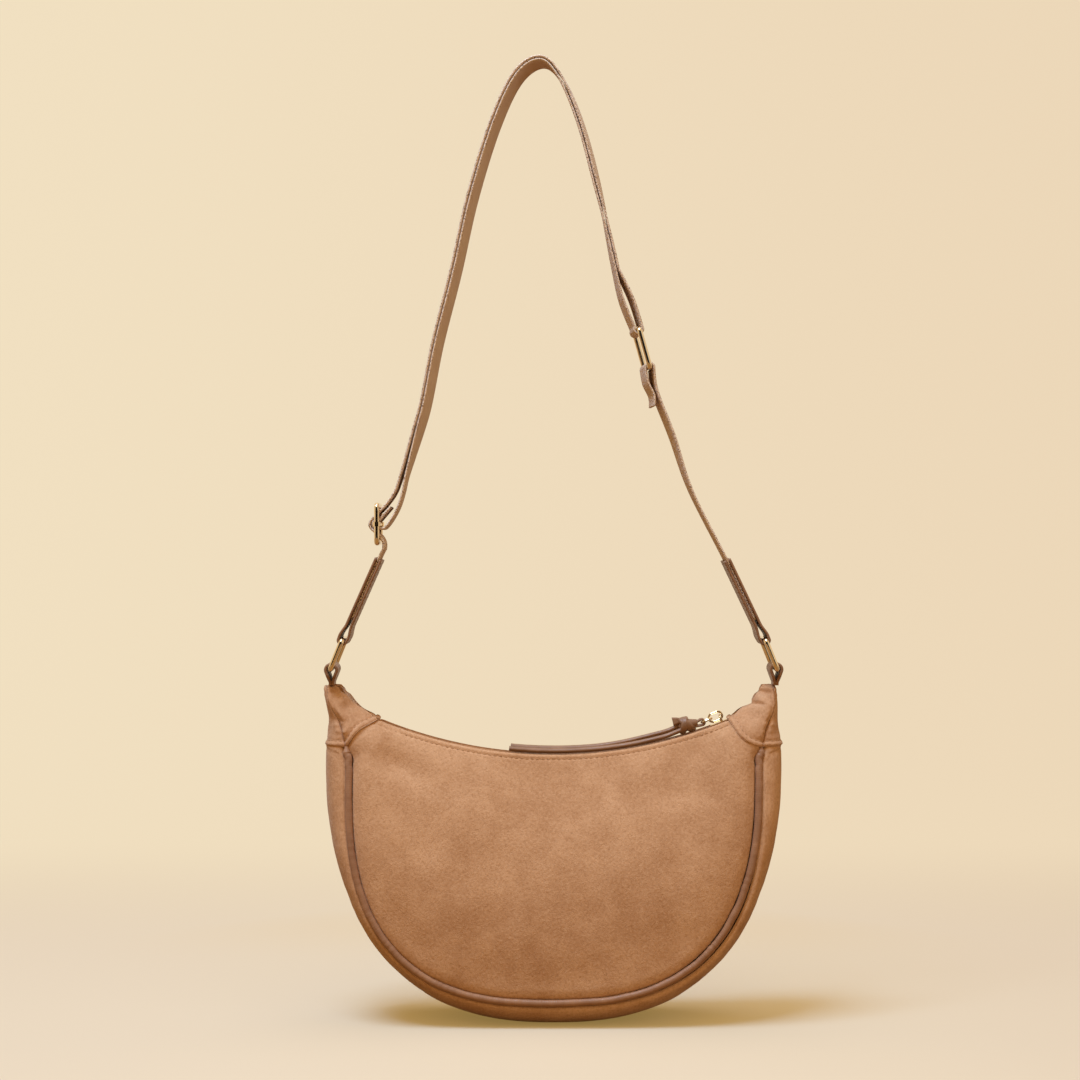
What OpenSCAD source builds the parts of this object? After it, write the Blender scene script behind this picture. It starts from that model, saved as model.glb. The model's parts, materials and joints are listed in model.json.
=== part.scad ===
// Half moon shoulder bag: domed suede panels on a curved gusset, horn caps, an arched zip,
// and an adjustable webbing strap on rings. X runs across the bag, -Y is the front, Z is up.
// The origin is on the surface that the bag stands on, below its middle.

/* [Body] */
// Width over the sides of the gusset
body_w = 300; // [240:1:360]
// Height of the horn tips above the base
horn_h = 219.2; // [185:0.1:250]
// Depth between the two panel seams at the base
base_d = 72; // [56:1:90]
// Depth of the horns
horn_d = 22.4; // [18:0.1:27]
// How far the panel seam sits in from the side
seam_in = 18.6; // [14:0.1:24]
// Height of the panel seam above the base
seam_rise = 19; // [14:0.1:25]
// How far a panel swells between its seams
panel_bulge = 4.5; // [2:0.1:8]
// Height of the cap hems at the panel seam
hem_h = 180; // [165:1:195]

/* [Zip] */
// Length of the mouth between the caps
mouth_l = 230; // [195:1:270]
// Drop of the mouth at its middle
mouth_sag = 23; // [17:0.5:29]
// Width of the mouth between the panel edges
mouth_w = 16; // [14:0.5:19]
// Width of the lane between the two rows of teeth
teeth_lane = 1.8; // [1.4:0.1:2.4]
// Distance from tooth to tooth
tooth_pitch = 3; // [2.4:0.1:3.6]
// Length of the slider
slider_l = 12; // [10:0.5:14]

/* [Leather and cloth] */
// Thickness of the suede
suede_t = 1.4; // [1:0.1:2]
// Thickness of a horn cap
cap_t = 1.8; // [1.4:0.1:2.4]
// Thickness of the lining
lining_t = 0.5; // [0.3:0.1:0.8]
// Diameter of the piping
piping_d = 5.2; // [4:0.1:6.4]
// Thickness of the smooth leather in tabs and chapes
leather_t = 1.6; // [1.2:0.1:2]

/* [Strap] */
// Height from the lower bars of the rings to the top of the strap
strap_h = 403; // [330:1:480]
// Width of the webbing
web_w = 29; // [24:1:34]
// Thickness of the webbing
web_t = 1.5; // [1.2:0.1:1.8]
// Thickness of the ring and buckle wire
wire_d = 3.4; // [2.8:0.1:4]
// Outer length of a ring
ring_l = 24; // [22:0.5:28]
// Lean of the rings towards the middle
ring_lean = 22; // [14:1:28]
// Outer length of the oblong ring
oblong_l = 29.5; // [26:0.5:35]
// Lean of the oblong ring
oblong_lean = 15.6; // [8:0.1:22]
// Outer length of the buckle frame
buckle_l = 28; // [26:0.5:33]
// Length of a chape
chape_l = 58; // [48:1:68]

/* [Pull] */
// Length of the leather thong from its loop to its cut end
thong_l = 127; // [106:1:150]
// Width of the thong
thong_w = 7; // [6:0.1:8]
// Diameter of the knot
knot_d = 11; // [9:0.1:13]

/* [Hidden] */

suede = [0.69, 0.49, 0.35];
cap_suede = [0.65, 0.46, 0.32];
smooth_leather = [0.55, 0.38, 0.26];
cloth = [0.80, 0.72, 0.60];
webbing_tone = [0.82, 0.71, 0.60];
gold = [0.83, 0.69, 0.42];

// Gaps that let pieces move or lie beside each other
gap = 0.3;
hem_gap = 1;
base_sink = 1.2;
join = 0.2;

// Bag outline: the side of the gusset and the panel seam are rounded like a full half moon
side_full = 2.42;
seam_full = 2.65;
side_centre_share = 0.805;
seam_top_share = 0.753;
horn_spread_share = 0.33;
side_s = 0.78;
hem_s = 0.86;
side_top = horn_h * side_centre_share;
seam_top = horn_h * seam_top_share;
seam_w = body_w / 2 - seam_in;
fold_z = horn_h - horn_d / 2;

// Mouth: the panels' upper edges follow an arc about a point above the bag
mouth_end_share = 0.9;
mouth_r = (pow(mouth_l / 2, 2) + pow(mouth_sag, 2)) / (2 * mouth_sag);
mouth_end_z = horn_h * mouth_end_share;
mouth_z = mouth_end_z - mouth_sag + mouth_r;
mouth_lip = 0.4;
mouth_close_s = 0.06;
horn_flat = 7;
horn_edge_x = body_w / 2 - horn_flat;

// Depth profile up the seam, and the swell of a panel
depth_power = 1.7;
depth_top_share = 0.89;
drop_power = 1.8;
swell_power = 0.8;

// Piping seam and gusset
piping_gap = 0.8;
piping_at = piping_d / 2 + piping_gap;
gusset_from = piping_d + 2.1 * piping_gap;
gusset_round = 0.8;

// Lining
lining_at = suede_t + 0.9 * mouth_lip + gap;
lining_top_share = 0.93;

// Grids
panel_cols = 28;
panel_rows = 8;
gusset_cols = 36;
gusset_rows = 8;
cap_cols = 7;
cap_rows = 6;
side_rows = 8;
piping_rings = 52;
piping_sides = 8;
step = 0.001;
tip_s = 1;
max_s = 0.985;

function power(c, p) = sign(c) * pow(abs(c), p);
function mix(a, b, t) = a + (b - a) * t;
function unit(v) = v / norm(v);

// Seam, side and mouth lines, as [x, z] along s from 0 at the middle of the base to 1 at a horn tip
function round_line(s, w, top, base, full) =
  let (a = 90 * s / side_s)
  [w * power(sin(a), 2 / full), top - (top - base) * power(cos(a), 2 / full)];
function seam_line(s) = s < side_s
  ? round_line(s, seam_w, seam_top, seam_rise, seam_full)
  : s < hem_s
    ? seam_up(mix(seam_top, hem_h, (s - side_s) / (hem_s - side_s)))
    : seam_up(mix(hem_h, horn_h, horn_share(s)));
function seam_up(z) = [seam_w + horn_spread_share * (z - seam_top), z];
function side_line(s) = s < side_s
  ? round_line(s, body_w / 2, side_top, -base_sink, side_full)
  : s < hem_s
    ? [body_w / 2, mix(side_top, hem_h, (s - side_s) / (hem_s - side_s))]
    : [body_w / 2, mix(hem_h, horn_h, horn_share(s))];
function horn_share(s) = sin(90 * (s - hem_s) / (tip_s - hem_s));
function mouth_line(s) = s < hem_s
  ? let (x = mouth_l / 2 * s / hem_s) [x, mouth_z - sqrt(pow(mouth_r, 2) - pow(x, 2))]
  : let (t = (s - hem_s) / (tip_s - hem_s), x = mix(mouth_l / 2, horn_edge_x, t),
         rise = horn_h - mouth_end_z, first = (horn_edge_x - mouth_l / 2) * tan(asin(mouth_l / 2 / mouth_r)))
    [x, mouth_end_z + min(rise, first * t + (rise - first) * pow(t, 2))];

// Half depth of the seam at a height, and the round top of a horn
function seam_depth(z) =
  let (t = min(1, max(0, (z - seam_rise) / (horn_h * depth_top_share - seam_rise))))
  min(base_d / 2 - (base_d - horn_d) / 2 * pow(t, depth_power), horn_round(z));
function horn_round(z) = z < fold_z ? base_d
  : sqrt(max(0, pow(horn_d / 2, 2) - pow(z - fold_z, 2)));

// Half width of the mouth, which closes to the ridge of each horn
function mouth_half(s) = s < hem_s ? mouth_w / 2
  : max(mouth_lip, mouth_w / 2 * (1 - (s - hem_s) / mouth_close_s));

// A point of the panel surface: u from horn to horn, v from the seam to the mouth, side -1 is the front
function panel_point(u, v, side) =
  let (s = abs(u), a = seam_line(s), b = mouth_line(s), z = mix(a[1], b[1], v),
       drop = mix(seam_depth(a[1]), mouth_half(s), power(v, drop_power)),
       swell = panel_bulge * sin(180 * power(v, swell_power)) * min(1, (tip_s - s) / (tip_s - side_s)),
       y = s < side_s ? drop + swell : min(drop + swell, horn_round(z) + mouth_lip))
  [sign(u) * mix(a[0], b[0], v), side * max(mouth_lip, y), z];

// A point of the gusset surface: v from the front edge over the side to the back edge
function gusset_point(u, v, from) =
  let (s = abs(u), a = seam_line(s), c = side_line(s), way = unit(c - a), far = norm(c - a),
       out = mix(min(from, far / 2), far, power(cos(90 * v), gusset_round)), p = a + out * way)
  [sign(u) * p[0], seam_depth(a[1]) * sin(90 * v), max(0, p[1])];

// The way out of a surface at a point
function way_out(f, u, v) =
  let (a = min(max_s, max(-max_s, u)))
  unit(cross(f(a + step, v) - f(a - step, v), f(a, v + step) - f(a, v - step)));

// A closed sheet over part of a surface, between two depths along the way out
module sheet(f, u0, u1, v0, v1, cols, rows, outer, inner, flip) {
  turn = flip ? -1 : 1;
  us = [for (i = [0:cols]) mix(u0, u1, i / cols)];
  vs = [for (j = [0:rows]) mix(v0, v1, j / rows)];
  skin = [for (d = [outer, inner]) for (u = us) for (v = vs)
    let (p = f(u, v) + turn * d * way_out(f, u, v)) [p[0], p[1], max(0, p[2])]];
  n = rows + 1;
  all = (cols + 1) * n;
  function quad(a, b, c, d) = turn > 0 ? [[a, b, c], [a, c, d]] : [[a, c, b], [a, d, c]];
  faces = [
    for (i = [0:cols - 1]) for (j = [0:rows - 1]) let (k = i * n + j)
      each quad(k, k + 1, k + n + 1, k + n),
    for (i = [0:cols - 1]) for (j = [0:rows - 1]) let (k = all + i * n + j)
      each quad(k, k + n, k + n + 1, k + 1),
    for (i = [0:cols - 1]) let (k = i * n) each quad(k, k + n, all + k + n, all + k),
    for (i = [0:cols - 1]) let (k = i * n + rows) each quad(k, all + k, all + k + n, k + n),
    for (j = [0:rows - 1]) each quad(j, all + j, all + j + 1, j + 1),
    for (j = [0:rows - 1]) let (k = cols * n + j) each quad(k, k + 1, all + k + 1, all + k)
  ];
  polyhedron(skin, faces);
}

// Body pieces
module panel(side) {
  color(suede)
    sheet(function(u, v) panel_point(u, v, side), -hem_s + hem_gap / seam_w, hem_s - hem_gap / seam_w,
      0, 1, panel_cols, panel_rows, 0, -suede_t, side > 0);
}

module lining(side) {
  color(cloth)
    sheet(function(u, v) panel_point(u, v, side), -hem_s + 2 * hem_gap / seam_w,
      hem_s - 2 * hem_gap / seam_w, 0, lining_top_share, panel_cols / 2, panel_rows / 2,
      -lining_at, -lining_at - lining_t, side > 0);
}

module gusset() {
  color(suede)
    sheet(function(u, v) gusset_point(u, v, gusset_from), -hem_s, hem_s, -1, 1,
      gusset_cols, gusset_rows, 0, -suede_t, true);
}

module gusset_lining() {
  color(cloth)
    sheet(function(u, v) gusset_point(u, v, gusset_from), -hem_s, hem_s, -1 + join, 1 - join,
      gusset_cols / 2, gusset_rows / 2, -lining_at, -lining_at - lining_t, true);
}

module piping(side) {
  function at(u) =
    let (s = abs(u), a = seam_line(s), p = a + piping_at * unit(side_line(s) - a))
    [sign(u) * p[0], side * seam_depth(a[1]), p[1]];
  span = hem_s - 2 * hem_gap / seam_w;
  us = [for (i = [0:piping_rings - 1]) mix(-span, span, i / (piping_rings - 1))];
  ring_points = [for (u = us)
    let (c = at(u), along = unit(at(u + step) - at(u - step)), across = unit(cross(along, [0, 1, 0])),
         up = cross(across, along))
    for (k = [0:piping_sides - 1]) let (a = 360 * k / piping_sides)
      c + piping_d / 2 * (cos(a) * across + sin(a) * up)];
  n = piping_sides;
  last = (piping_rings - 1) * n;
  color(smooth_leather) polyhedron(ring_points, [
    for (i = [0:piping_rings - 2]) for (k = [0:n - 1])
      let (a = i * n + k, b = i * n + (k + 1) % n)
      each [[a, b, b + n], [a, b + n, a + n]],
    for (k = [1:n - 2]) [0, k + 1, k],
    for (k = [1:n - 2]) [last, last + k, last + k + 1]
  ]);
}

// Horn caps lie over the ends of the panels and of the gusset
cap_out = 1;
cap_from = 3 * gap;
module cap_face(hand, side) {
  color(cap_suede)
    sheet(function(u, v) panel_point(u, v, side) + [0, side * join / 2, 0],
      hand < 0 ? -tip_s : hem_s, hand < 0 ? -hem_s : tip_s, 0, 1, cap_cols, cap_rows,
      cap_out, cap_out - cap_t, side > 0);
}

module cap_side(hand) {
  color(cap_suede)
    sheet(function(u, v) gusset_point(u, v, cap_from), hand < 0 ? -tip_s : hem_s + join / body_w,
      hand < 0 ? -hem_s - join / body_w : tip_s, -1, 1, cap_cols, side_rows,
      cap_out, cap_out - cap_t, true);
}

// Zip, laid along the arc of the mouth. Angles are counted from straight below the arc's centre.
tape_below = 2.2;
tape_t = 0.8;
tooth_h = 2.6;
tooth_l = 2.1;
tooth_t = 1.5;
tooth_grip = 1;
tape_out = mouth_w / 2 - suede_t + 2 * gap;
teeth_r = mouth_r + tape_below + tape_t / 2;
slider_angle = asin((mouth_l / 2 - slider_l / 2) / mouth_r);
teeth_angle = slider_angle - (slider_l + tooth_pitch) / 2 / mouth_r * 180 / PI;
pitch_angle = tooth_pitch / teeth_r * 180 / PI;
tooth_slack = 0.03;
zip_under = 2.5;

module at_arc(a) {
  translate([0, 0, mouth_z]) rotate([0, -a, 0]) children();
}

module arc_bar(r0, r1, y0, y1, a0, a1) {
  translate([0, 0, mouth_z]) rotate([90, 0, 0])
    rotate_extrude(angle = a1 - a0, start = 270 + a0, $fn = 360)
      translate([r0, -y1]) square([r1 - r0, y1 - y0]);
}

module zip_tape(side) {
  near = teeth_lane / 2 + tooth_l - tooth_grip;
  color(cap_suede)
    arc_bar(mouth_r + tape_below, mouth_r + tape_below + tape_t,
      side < 0 ? -tape_out : near, side < 0 ? -near : tape_out, -teeth_angle, teeth_angle);
}

module tooth(side) {
  lane = teeth_lane / 2;
  head = 0.6;
  neck = tooth_t / 4;
  translate([0, side * lane, -teeth_r - tooth_h / 2]) scale([1, side, 1])
    difference() {
      linear_extrude(tooth_h) polygon([
        [-neck, 0], [neck, 0], [tooth_t / 2, head], [tooth_t / 2, tooth_l], [-tooth_t / 2, tooth_l],
        [-tooth_t / 2, head]
      ]);
      translate([-tooth_t, tooth_l - tooth_grip - tooth_slack, (tooth_h - tape_t) / 2 - tooth_slack])
        cube([2 * tooth_t, 2 * tooth_grip, tape_t + 2 * tooth_slack]);
    }
}

module zip_teeth(side) {
  span = 2 * (teeth_angle - pitch_angle);
  count = floor(span / pitch_angle);
  color(gold)
    for (i = [0:count])
      at_arc((i - count / 2) * pitch_angle) tooth(side);
}

slider_post = 1.2;
slider_plate = 1.2;
slider_room = teeth_lane / 2 + tooth_l + 2 * join;
slider_half_w = slider_room + 1;
slider_slot = tape_t / 2 + gap;
slider_in = tooth_h / 2 + join;
post_x = slider_l / 4;
bail_r = 2.8;
bail_wire = 1.4;
bail_leg = 1.2;
bail_x = slider_l / 6;
link_wire = 1.5;
oval_l = 10.6;
oval_h = 7;
small_l = 8.6;
small_w = 6.6;
lift = slider_in + slider_plate + bail_leg + bail_r;
oval_x = bail_x + (bail_wire + link_wire) / 2 + gap - oval_l / 2 + link_wire / 2;
swing_x = oval_x - oval_l / 2 + link_wire / 2;
small_x = swing_x + link_wire + gap - small_l / 2 + link_wire / 2;
loop_x = small_x - small_l / 2 + link_wire / 2;

module zip_end(hand) {
  notch = slider_post + 4 * join;
  mid = hand * slider_angle;
  half = slider_l / 2 / mouth_r * 180 / PI;
  away = zip_under / mouth_r * 180 / PI;
  near = mid - half;
  color(cap_suede) difference() {
    arc_bar(mouth_r + tape_below, mouth_r + tape_below + tape_t, -tape_out, tape_out,
      hand < 0 ? mid - half - away : near, hand < 0 ? mid + half : mid + half + away);
    at_arc(mid + post_x / mouth_r * 180 / PI)
      translate([hand < 0 ? -notch : -slider_l, -notch / 2, -teeth_r - tape_t])
        cube([slider_l + notch, notch, 2 * tape_t]);
  }
}

module zip_slider() {
  module plate() {
    shoulder = slider_l / 5;
    tail_half_w = slider_half_w - 2 * join;
    linear_extrude(slider_plate) polygon([
      [slider_l / 2, -slider_half_w + shoulder / 2], [slider_l / 2, slider_half_w - shoulder / 2],
      [shoulder, slider_half_w], [-slider_l / 2 + shoulder / 2, tail_half_w],
      [-slider_l / 2, tail_half_w - shoulder / 2], [-slider_l / 2, shoulder / 2 - tail_half_w],
      [-slider_l / 2 + shoulder / 2, -tail_half_w], [shoulder, -slider_half_w]
    ]);
  }
  module flange(side) {
    translate([-slider_l / 2 + slider_plate, side > 0 ? slider_room : -slider_room - (slider_half_w - slider_room) / 2, slider_slot])
      cube([slider_l - 2 * slider_plate, (slider_half_w - slider_room) / 2, slider_in - slider_slot + join]);
  }
  top = slider_in + slider_plate;
  color(gold) at_arc(slider_angle) translate([0, 0, -teeth_r]) union() {
    translate([0, 0, slider_in]) plate();
    mirror([0, 0, 1]) translate([0, 0, slider_in]) plate();
    for (side = [-1, 1]) {
      flange(side);
      mirror([0, 0, 1]) flange(side);
      translate([bail_x, side * bail_r, top - join]) cylinder(d = bail_wire, h = bail_leg + join, $fn = 32);
    }
    translate([post_x, 0, -slider_in - join]) cylinder(d = slider_post, h = 2 * (slider_in + join), $fn = 32);
    translate([bail_x, 0, top + bail_leg]) rotate([90, 0, 90])
      rotate_extrude(angle = 180, $fn = 48) translate([bail_r, 0]) circle(d = bail_wire, $fn = 32);
  }
}

// A round-ended link, lying in the XY plane with its length along X
module link(l, w, d) {
  r = w / 2 - d / 2;
  for (side = [-1, 1]) {
    translate([-(l - w) / 2, side * r, 0]) rotate([0, 90, 0]) cylinder(d = d, h = l - w, $fn = 32);
    translate([side * (l - w) / 2, 0, 0]) rotate([0, 0, side > 0 ? -90 : 90])
      rotate_extrude(angle = 180, $fn = 48) translate([r, 0]) circle(d = d, $fn = 32);
  }
}

module oval_link() {
  color(gold) at_arc(slider_angle) translate([oval_x, 0, -teeth_r + lift])
    rotate([90, 0, 0]) link(oval_l, oval_h, link_wire);
}

module small_link() {
  color(gold) at_arc(slider_angle) translate([small_x, 0, -teeth_r + lift]) link(small_l, small_w, link_wire);
}

// The thong is folded round the small link, knotted, and its two strands lie along the zip
strand_t = 1.8;
strand_gap = 0.5;
neck_w = 3;
thong_loop_r = link_wire / 2 + gap;
knot_l = 14;
neck_l = 6;
module pull_thong() {
  turn = 180 / PI / mouth_r;
  low = mouth_r - 2 * join;
  start = slider_angle + (loop_x - thong_loop_r - neck_l) * turn;
  knot_mid = start - knot_l / 2 * turn;
  end = slider_angle + (loop_x - thong_l) * turn;
  slant = 3 * turn;
  knot_r = low - knot_d / 2;
  color(smooth_leather) union() {
    arc_bar(low - strand_t, low, -thong_w / 2, thong_w / 2, end, knot_mid);
    arc_bar(low - 2 * strand_t - strand_gap, low - strand_t - strand_gap, -thong_w / 2, thong_w / 2,
      end + slant, knot_mid);
    at_arc(knot_mid) translate([0, 0, -knot_r]) {
      sphere(d = knot_d, $fn = 32);
      for (tilt = [-25, 25])
        rotate([0, 90 + tilt, 0]) rotate_extrude($fn = 48)
          translate([knot_d / 2 - strand_t, -strand_t]) square([strand_t + join, 2 * strand_t]);
    }
    at_arc(slider_angle) translate([loop_x, 0, -teeth_r + lift]) {
      rotate([90, 0, 0]) translate([0, 0, -neck_w / 2])
        rotate_extrude(angle = 180, start = 90, $fn = 48)
          translate([thong_loop_r, 0]) square([strand_t, neck_w]);
      for (side = [-1, 1])
        translate([-thong_loop_r - neck_l - knot_l / 2,
          -neck_w / 2, side > 0 ? thong_loop_r : -thong_loop_r - strand_t])
          cube([thong_loop_r + neck_l + knot_l / 2, neck_w, strand_t]);
    }
  }
}

// Rings, tabs and chapes. Every bar of the strap's metal runs along Y.
tab_x = body_w / 2 - 4;
tab_w = 24;
tab_loop_r = 4;
tab_neck = 4;
tab_root_w = 14;
ring_slack = 1.7;
ring_in_w = web_w + 1;
ring_half_w = ring_in_w / 2 + wire_d / 2;
saddle_r = horn_d / 2 + cap_out + 2 * gap;
loop_z = fold_z + saddle_r + tab_neck + tab_loop_r;
ring_z = loop_z + ring_slack;
ring_reach = ring_l - wire_d;
ring_corner = 3;
ring_top = [tab_x - ring_reach * sin(ring_lean), ring_z + ring_reach * cos(ring_lean)];

// A rectangular wire ring with round corners in the plane of Y and Z, its lower bar on the Y axis
module wire_ring(reach) {
  for (z = [0, reach])
    translate([0, -ring_half_w + ring_corner, z]) rotate([-90, 0, 0])
      cylinder(d = wire_d, h = 2 * (ring_half_w - ring_corner), $fn = 32);
  for (side = [-1, 1]) {
    translate([0, side * ring_half_w, ring_corner])
      cylinder(d = wire_d, h = reach - 2 * ring_corner, $fn = 32);
    for (end = [0, 1])
      translate([0, side * (ring_half_w - ring_corner), end ? reach - ring_corner : ring_corner])
        rotate([90, 0, 90]) rotate([0, 0, end ? (side > 0 ? 0 : 90) : (side > 0 ? 270 : 180)])
          rotate_extrude(angle = 90, $fn = 48) translate([ring_corner, 0]) circle(d = wire_d, $fn = 32);
  }
}

module side_ring(hand) {
  color(gold) translate([hand * tab_x, 0, ring_z]) rotate([0, -hand * ring_lean, 0]) wire_ring(ring_reach);
}

module across(w) {
  rotate([90, 0, 0]) translate([0, 0, -w / 2]) linear_extrude(w) children();
}

module tab(hand) {
  r = tab_loop_r + leather_t;
  foot = fold_z + saddle_r;
  color(smooth_leather) translate([hand * tab_x, 0, 0]) difference() {
    union() {
      translate([0, 0, loop_z]) rotate([90, 0, 0])
        cylinder(r = r, h = tab_w, center = true, $fn = 64);
      across(tab_w) polygon([
        [-r * cos(30), loop_z - r * sin(30)], [r * cos(30), loop_z - r * sin(30)],
        [leather_t, loop_z - r - leather_t], [leather_t, foot], [-leather_t, foot],
        [-leather_t, loop_z - r - leather_t]
      ]);
    }
    translate([0, 0, loop_z]) rotate([90, 0, 0])
      cylinder(r = tab_loop_r, h = 2 * tab_w, center = true, $fn = 64);
    for (side = [-1, 1])
      translate([-2 * r, 0, 0]) rotate([90, 0, 90]) linear_extrude(4 * r) polygon([
        [side * tab_root_w / 2, foot - tab_neck], [side * tab_root_w / 2, foot],
        [side * tab_w / 2, loop_z - tab_loop_r], [side * tab_w, loop_z - tab_loop_r],
        [side * tab_w, foot - tab_neck]
      ]);
  }
}

// Strap route. The shares are of the ring span's half and of the strap's height above the rings.
run_step = 5;
function spline(p, q, r, s, t) = 0.5 * (2 * q + (r - p) * t + (2 * p - 5 * q + 4 * r - s) * t * t
  + (3 * q - p - 3 * r + s) * t * t * t);
function smooth(pts) = [
  for (i = [0:len(pts) - 2]) for (k = [0:run_step - 1])
    spline(pts[max(0, i - 1)], pts[i], pts[i + 1], pts[min(len(pts) - 1, i + 2)], k / run_step),
  pts[len(pts) - 1]
];
function arc_points(c, r, a0, a1, n) = [for (i = [0:n]) let (a = mix(a0, a1, i / n)) c + r * [cos(a), sin(a)]];
function placed(share) = [tab_x * share[0], ring_z + strap_h * share[1]];
function side_way(pts, i) =
  let (d = unit(pts[min(i + 1, len(pts) - 1)] - pts[max(i - 1, 0)])) [-d[1], d[0]];
function beside(pts, d) = [for (i = [0:len(pts) - 1]) pts[i] + d * side_way(pts, i)];
module ribbon(pts, t, w) {
  a = beside(pts, t / 2);
  b = beside(pts, -t / 2);
  across(w) polygon(concat(a, [for (i = [len(b) - 1:-1:0]) b[i]]));
}

left_run_shares = [[-0.69, 0.318], [-0.592, 0.413], [-0.525, 0.531], [-0.442, 0.65], [-0.368, 0.769],
  [-0.268, 0.887], [-0.165, 0.966]];
top_run_shares = [[-0.057, 0.9925], [0.032, 0.967]];
right_run_shares = [[0.126, 0.887], [0.211, 0.769], [0.282, 0.65]];
buckle_share = [-0.792, 0.2355];
oblong_share = [0.400, 0.521];
web_gap = 0.6;
bar_gap = 0.4;
buckle_room = 3.2;
buckle_at = placed(buckle_share);
buckle_reach = buckle_l - wire_d;
oblong_at = placed(oblong_share);
oblong_reach = oblong_l - wire_d;
oblong_way = [sin(oblong_lean), -cos(oblong_lean)];
oblong_top = oblong_at - oblong_reach / 2 * oblong_way;
oblong_foot = oblong_at + oblong_reach / 2 * oblong_way;
wrap_r = wire_d / 2 + bar_gap + web_t / 2;
layer = web_t + web_gap;
chape_gap = 0.1;
chape_in_share = 0.25;
chape_loop_r = wire_d / 2 + bar_gap;

left_top = [-ring_top[0], ring_top[1]];
right_top = ring_top;
webbing_past = wire_d / 2 + buckle_room + web_t / 2;
left_chape_way = unit(buckle_at + [webbing_past - web_t, -1.25 * buckle_reach / 2] - left_top);
right_chape_way = unit(placed([0.70, 0.236]) - right_top);

// The webbing: up from the left chape, left of the buckle bar, over the top on the outside, round the
// oblong ring, back over the top on the inside, and round the buckle bar from the left
long_route = let (
    c = buckle_at, h = buckle_reach / 2, past = webbing_past,
    inner_x = wrap_r, outer_x = wrap_r + layer,
    mid = [for (p = concat(left_run_shares, top_run_shares, right_run_shares)) placed(p)],
    route = smooth(mid), out = beside(route, layer / 2), back = beside(route, -layer / 2),
    start = left_top + (chape_l * chape_in_share) * left_chape_way,
    up = smooth([start, left_top + chape_l * left_chape_way, c + [past - web_t, -h * 1.25],
      c + [past - 2 * web_t, -h * 0.72], c + [-outer_x, 0], c + [past - web_t / 2, h * 0.95],
      c + [past + 2 * web_t, h * 1.35], out[0]]),
    ring_round = arc_points(oblong_top, wrap_r, 25, -205, 12),
    down = smooth([out[len(out) - 1], mix(out[len(out) - 1], ring_round[0], 0.5) + [web_t, 0], ring_round[0]]),
    up_again = smooth([ring_round[12], mix(back[len(back) - 1], ring_round[12], 0.5) - [web_t, 0],
      back[len(back) - 1]]),
    bar_round = arc_points(c, wrap_r, 150, 375, 12),
    last = smooth([back[0], c + [past + 2 * web_t, h * 1.35] + [layer, -web_t / 2],
      c + [past - web_t / 2 + layer, h * 0.85], bar_round[0]]),
    tail = smooth([bar_round[12], c + [wrap_r + web_t, h * 0.35], c + [past + 1.6 * layer, h * 0.7]])
  )
  concat(up, [for (i = [1:len(out) - 1]) out[i]], [for (i = [1:len(down) - 1]) down[i]],
    [for (i = [1:len(ring_round) - 1]) ring_round[i]], [for (i = [1:len(up_again) - 1]) up_again[i]],
    [for (i = [len(back) - 2:-1:0]) back[i]], [for (i = [1:len(last) - 1]) last[i]],
    [for (i = [1:len(bar_round) - 1]) bar_round[i]], [for (i = [1:len(tail) - 1]) tail[i]]);

module long_webbing() {
  color(webbing_tone) ribbon(long_route, web_t, web_w);
}

short_tail = 21;
short_route = let (
    ring_round = arc_points(oblong_foot, wrap_r, -15, 195, 12),
    lower = right_top + (chape_l * chape_in_share) * right_chape_way,
    side = [-oblong_way[1], oblong_way[0]],
    run = smooth([ring_round[0], oblong_foot + 0.8 * short_tail * oblong_way + side * web_t / 2,
      placed([0.535, 0.38]), placed([0.62, 0.29]), right_top + chape_l * right_chape_way, lower]),
    tail = smooth([ring_round[12], oblong_foot + 0.55 * short_tail * oblong_way - side * (layer + web_t / 2),
      oblong_foot + short_tail * oblong_way - side * (1.5 * layer)])
  )
  concat([for (i = [len(run) - 1:-1:0]) run[i]], [for (i = [1:12]) ring_round[i]],
    [for (i = [1:len(tail) - 1]) tail[i]]);

module short_webbing() {
  color(webbing_tone) ribbon(short_route, web_t, web_w);
}

// A chape: one strip of leather folded round the ring's upper bar, its two ends on the webbing
module chape(at, way, l) {
  lean = atan2(way[0], way[1]);
  half = web_t / 2 + chape_gap;
  from = 3.2 * chape_loop_r;
  r = chape_loop_r + leather_t;
  color(smooth_leather) translate([at[0], 0, at[1]]) rotate([0, lean, 0]) union() {
    difference() {
      rotate([90, 0, 0]) cylinder(r = r, h = web_w, center = true, $fn = 64);
      rotate([90, 0, 0]) cylinder(r = chape_loop_r, h = 2 * web_w, center = true, $fn = 64);
      translate([-2 * r, -web_w, join]) cube([4 * r, 2 * web_w, 2 * r]);
    }
    for (side = [-1, 1])
      across(web_w) polygon([
        [side * r, 0], [side * chape_loop_r, 0], [side * half, from], [side * half, l],
        [side * (half + leather_t), l], [side * (half + leather_t), from]
      ]);
  }
}

module left_chape() {
  chape(left_top, left_chape_way, chape_l);
}

module right_chape() {
  chape(right_top, right_chape_way, chape_l);
}

module oblong_ring() {
  color(gold) translate([oblong_foot[0], 0, oblong_foot[1]]) rotate([0, -oblong_lean, 0])
    wire_ring(oblong_reach);
}

module buckle_frame() {
  color(gold) translate([buckle_at[0], 0, buckle_at[1] - buckle_reach / 2]) wire_ring(buckle_reach);
}

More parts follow.
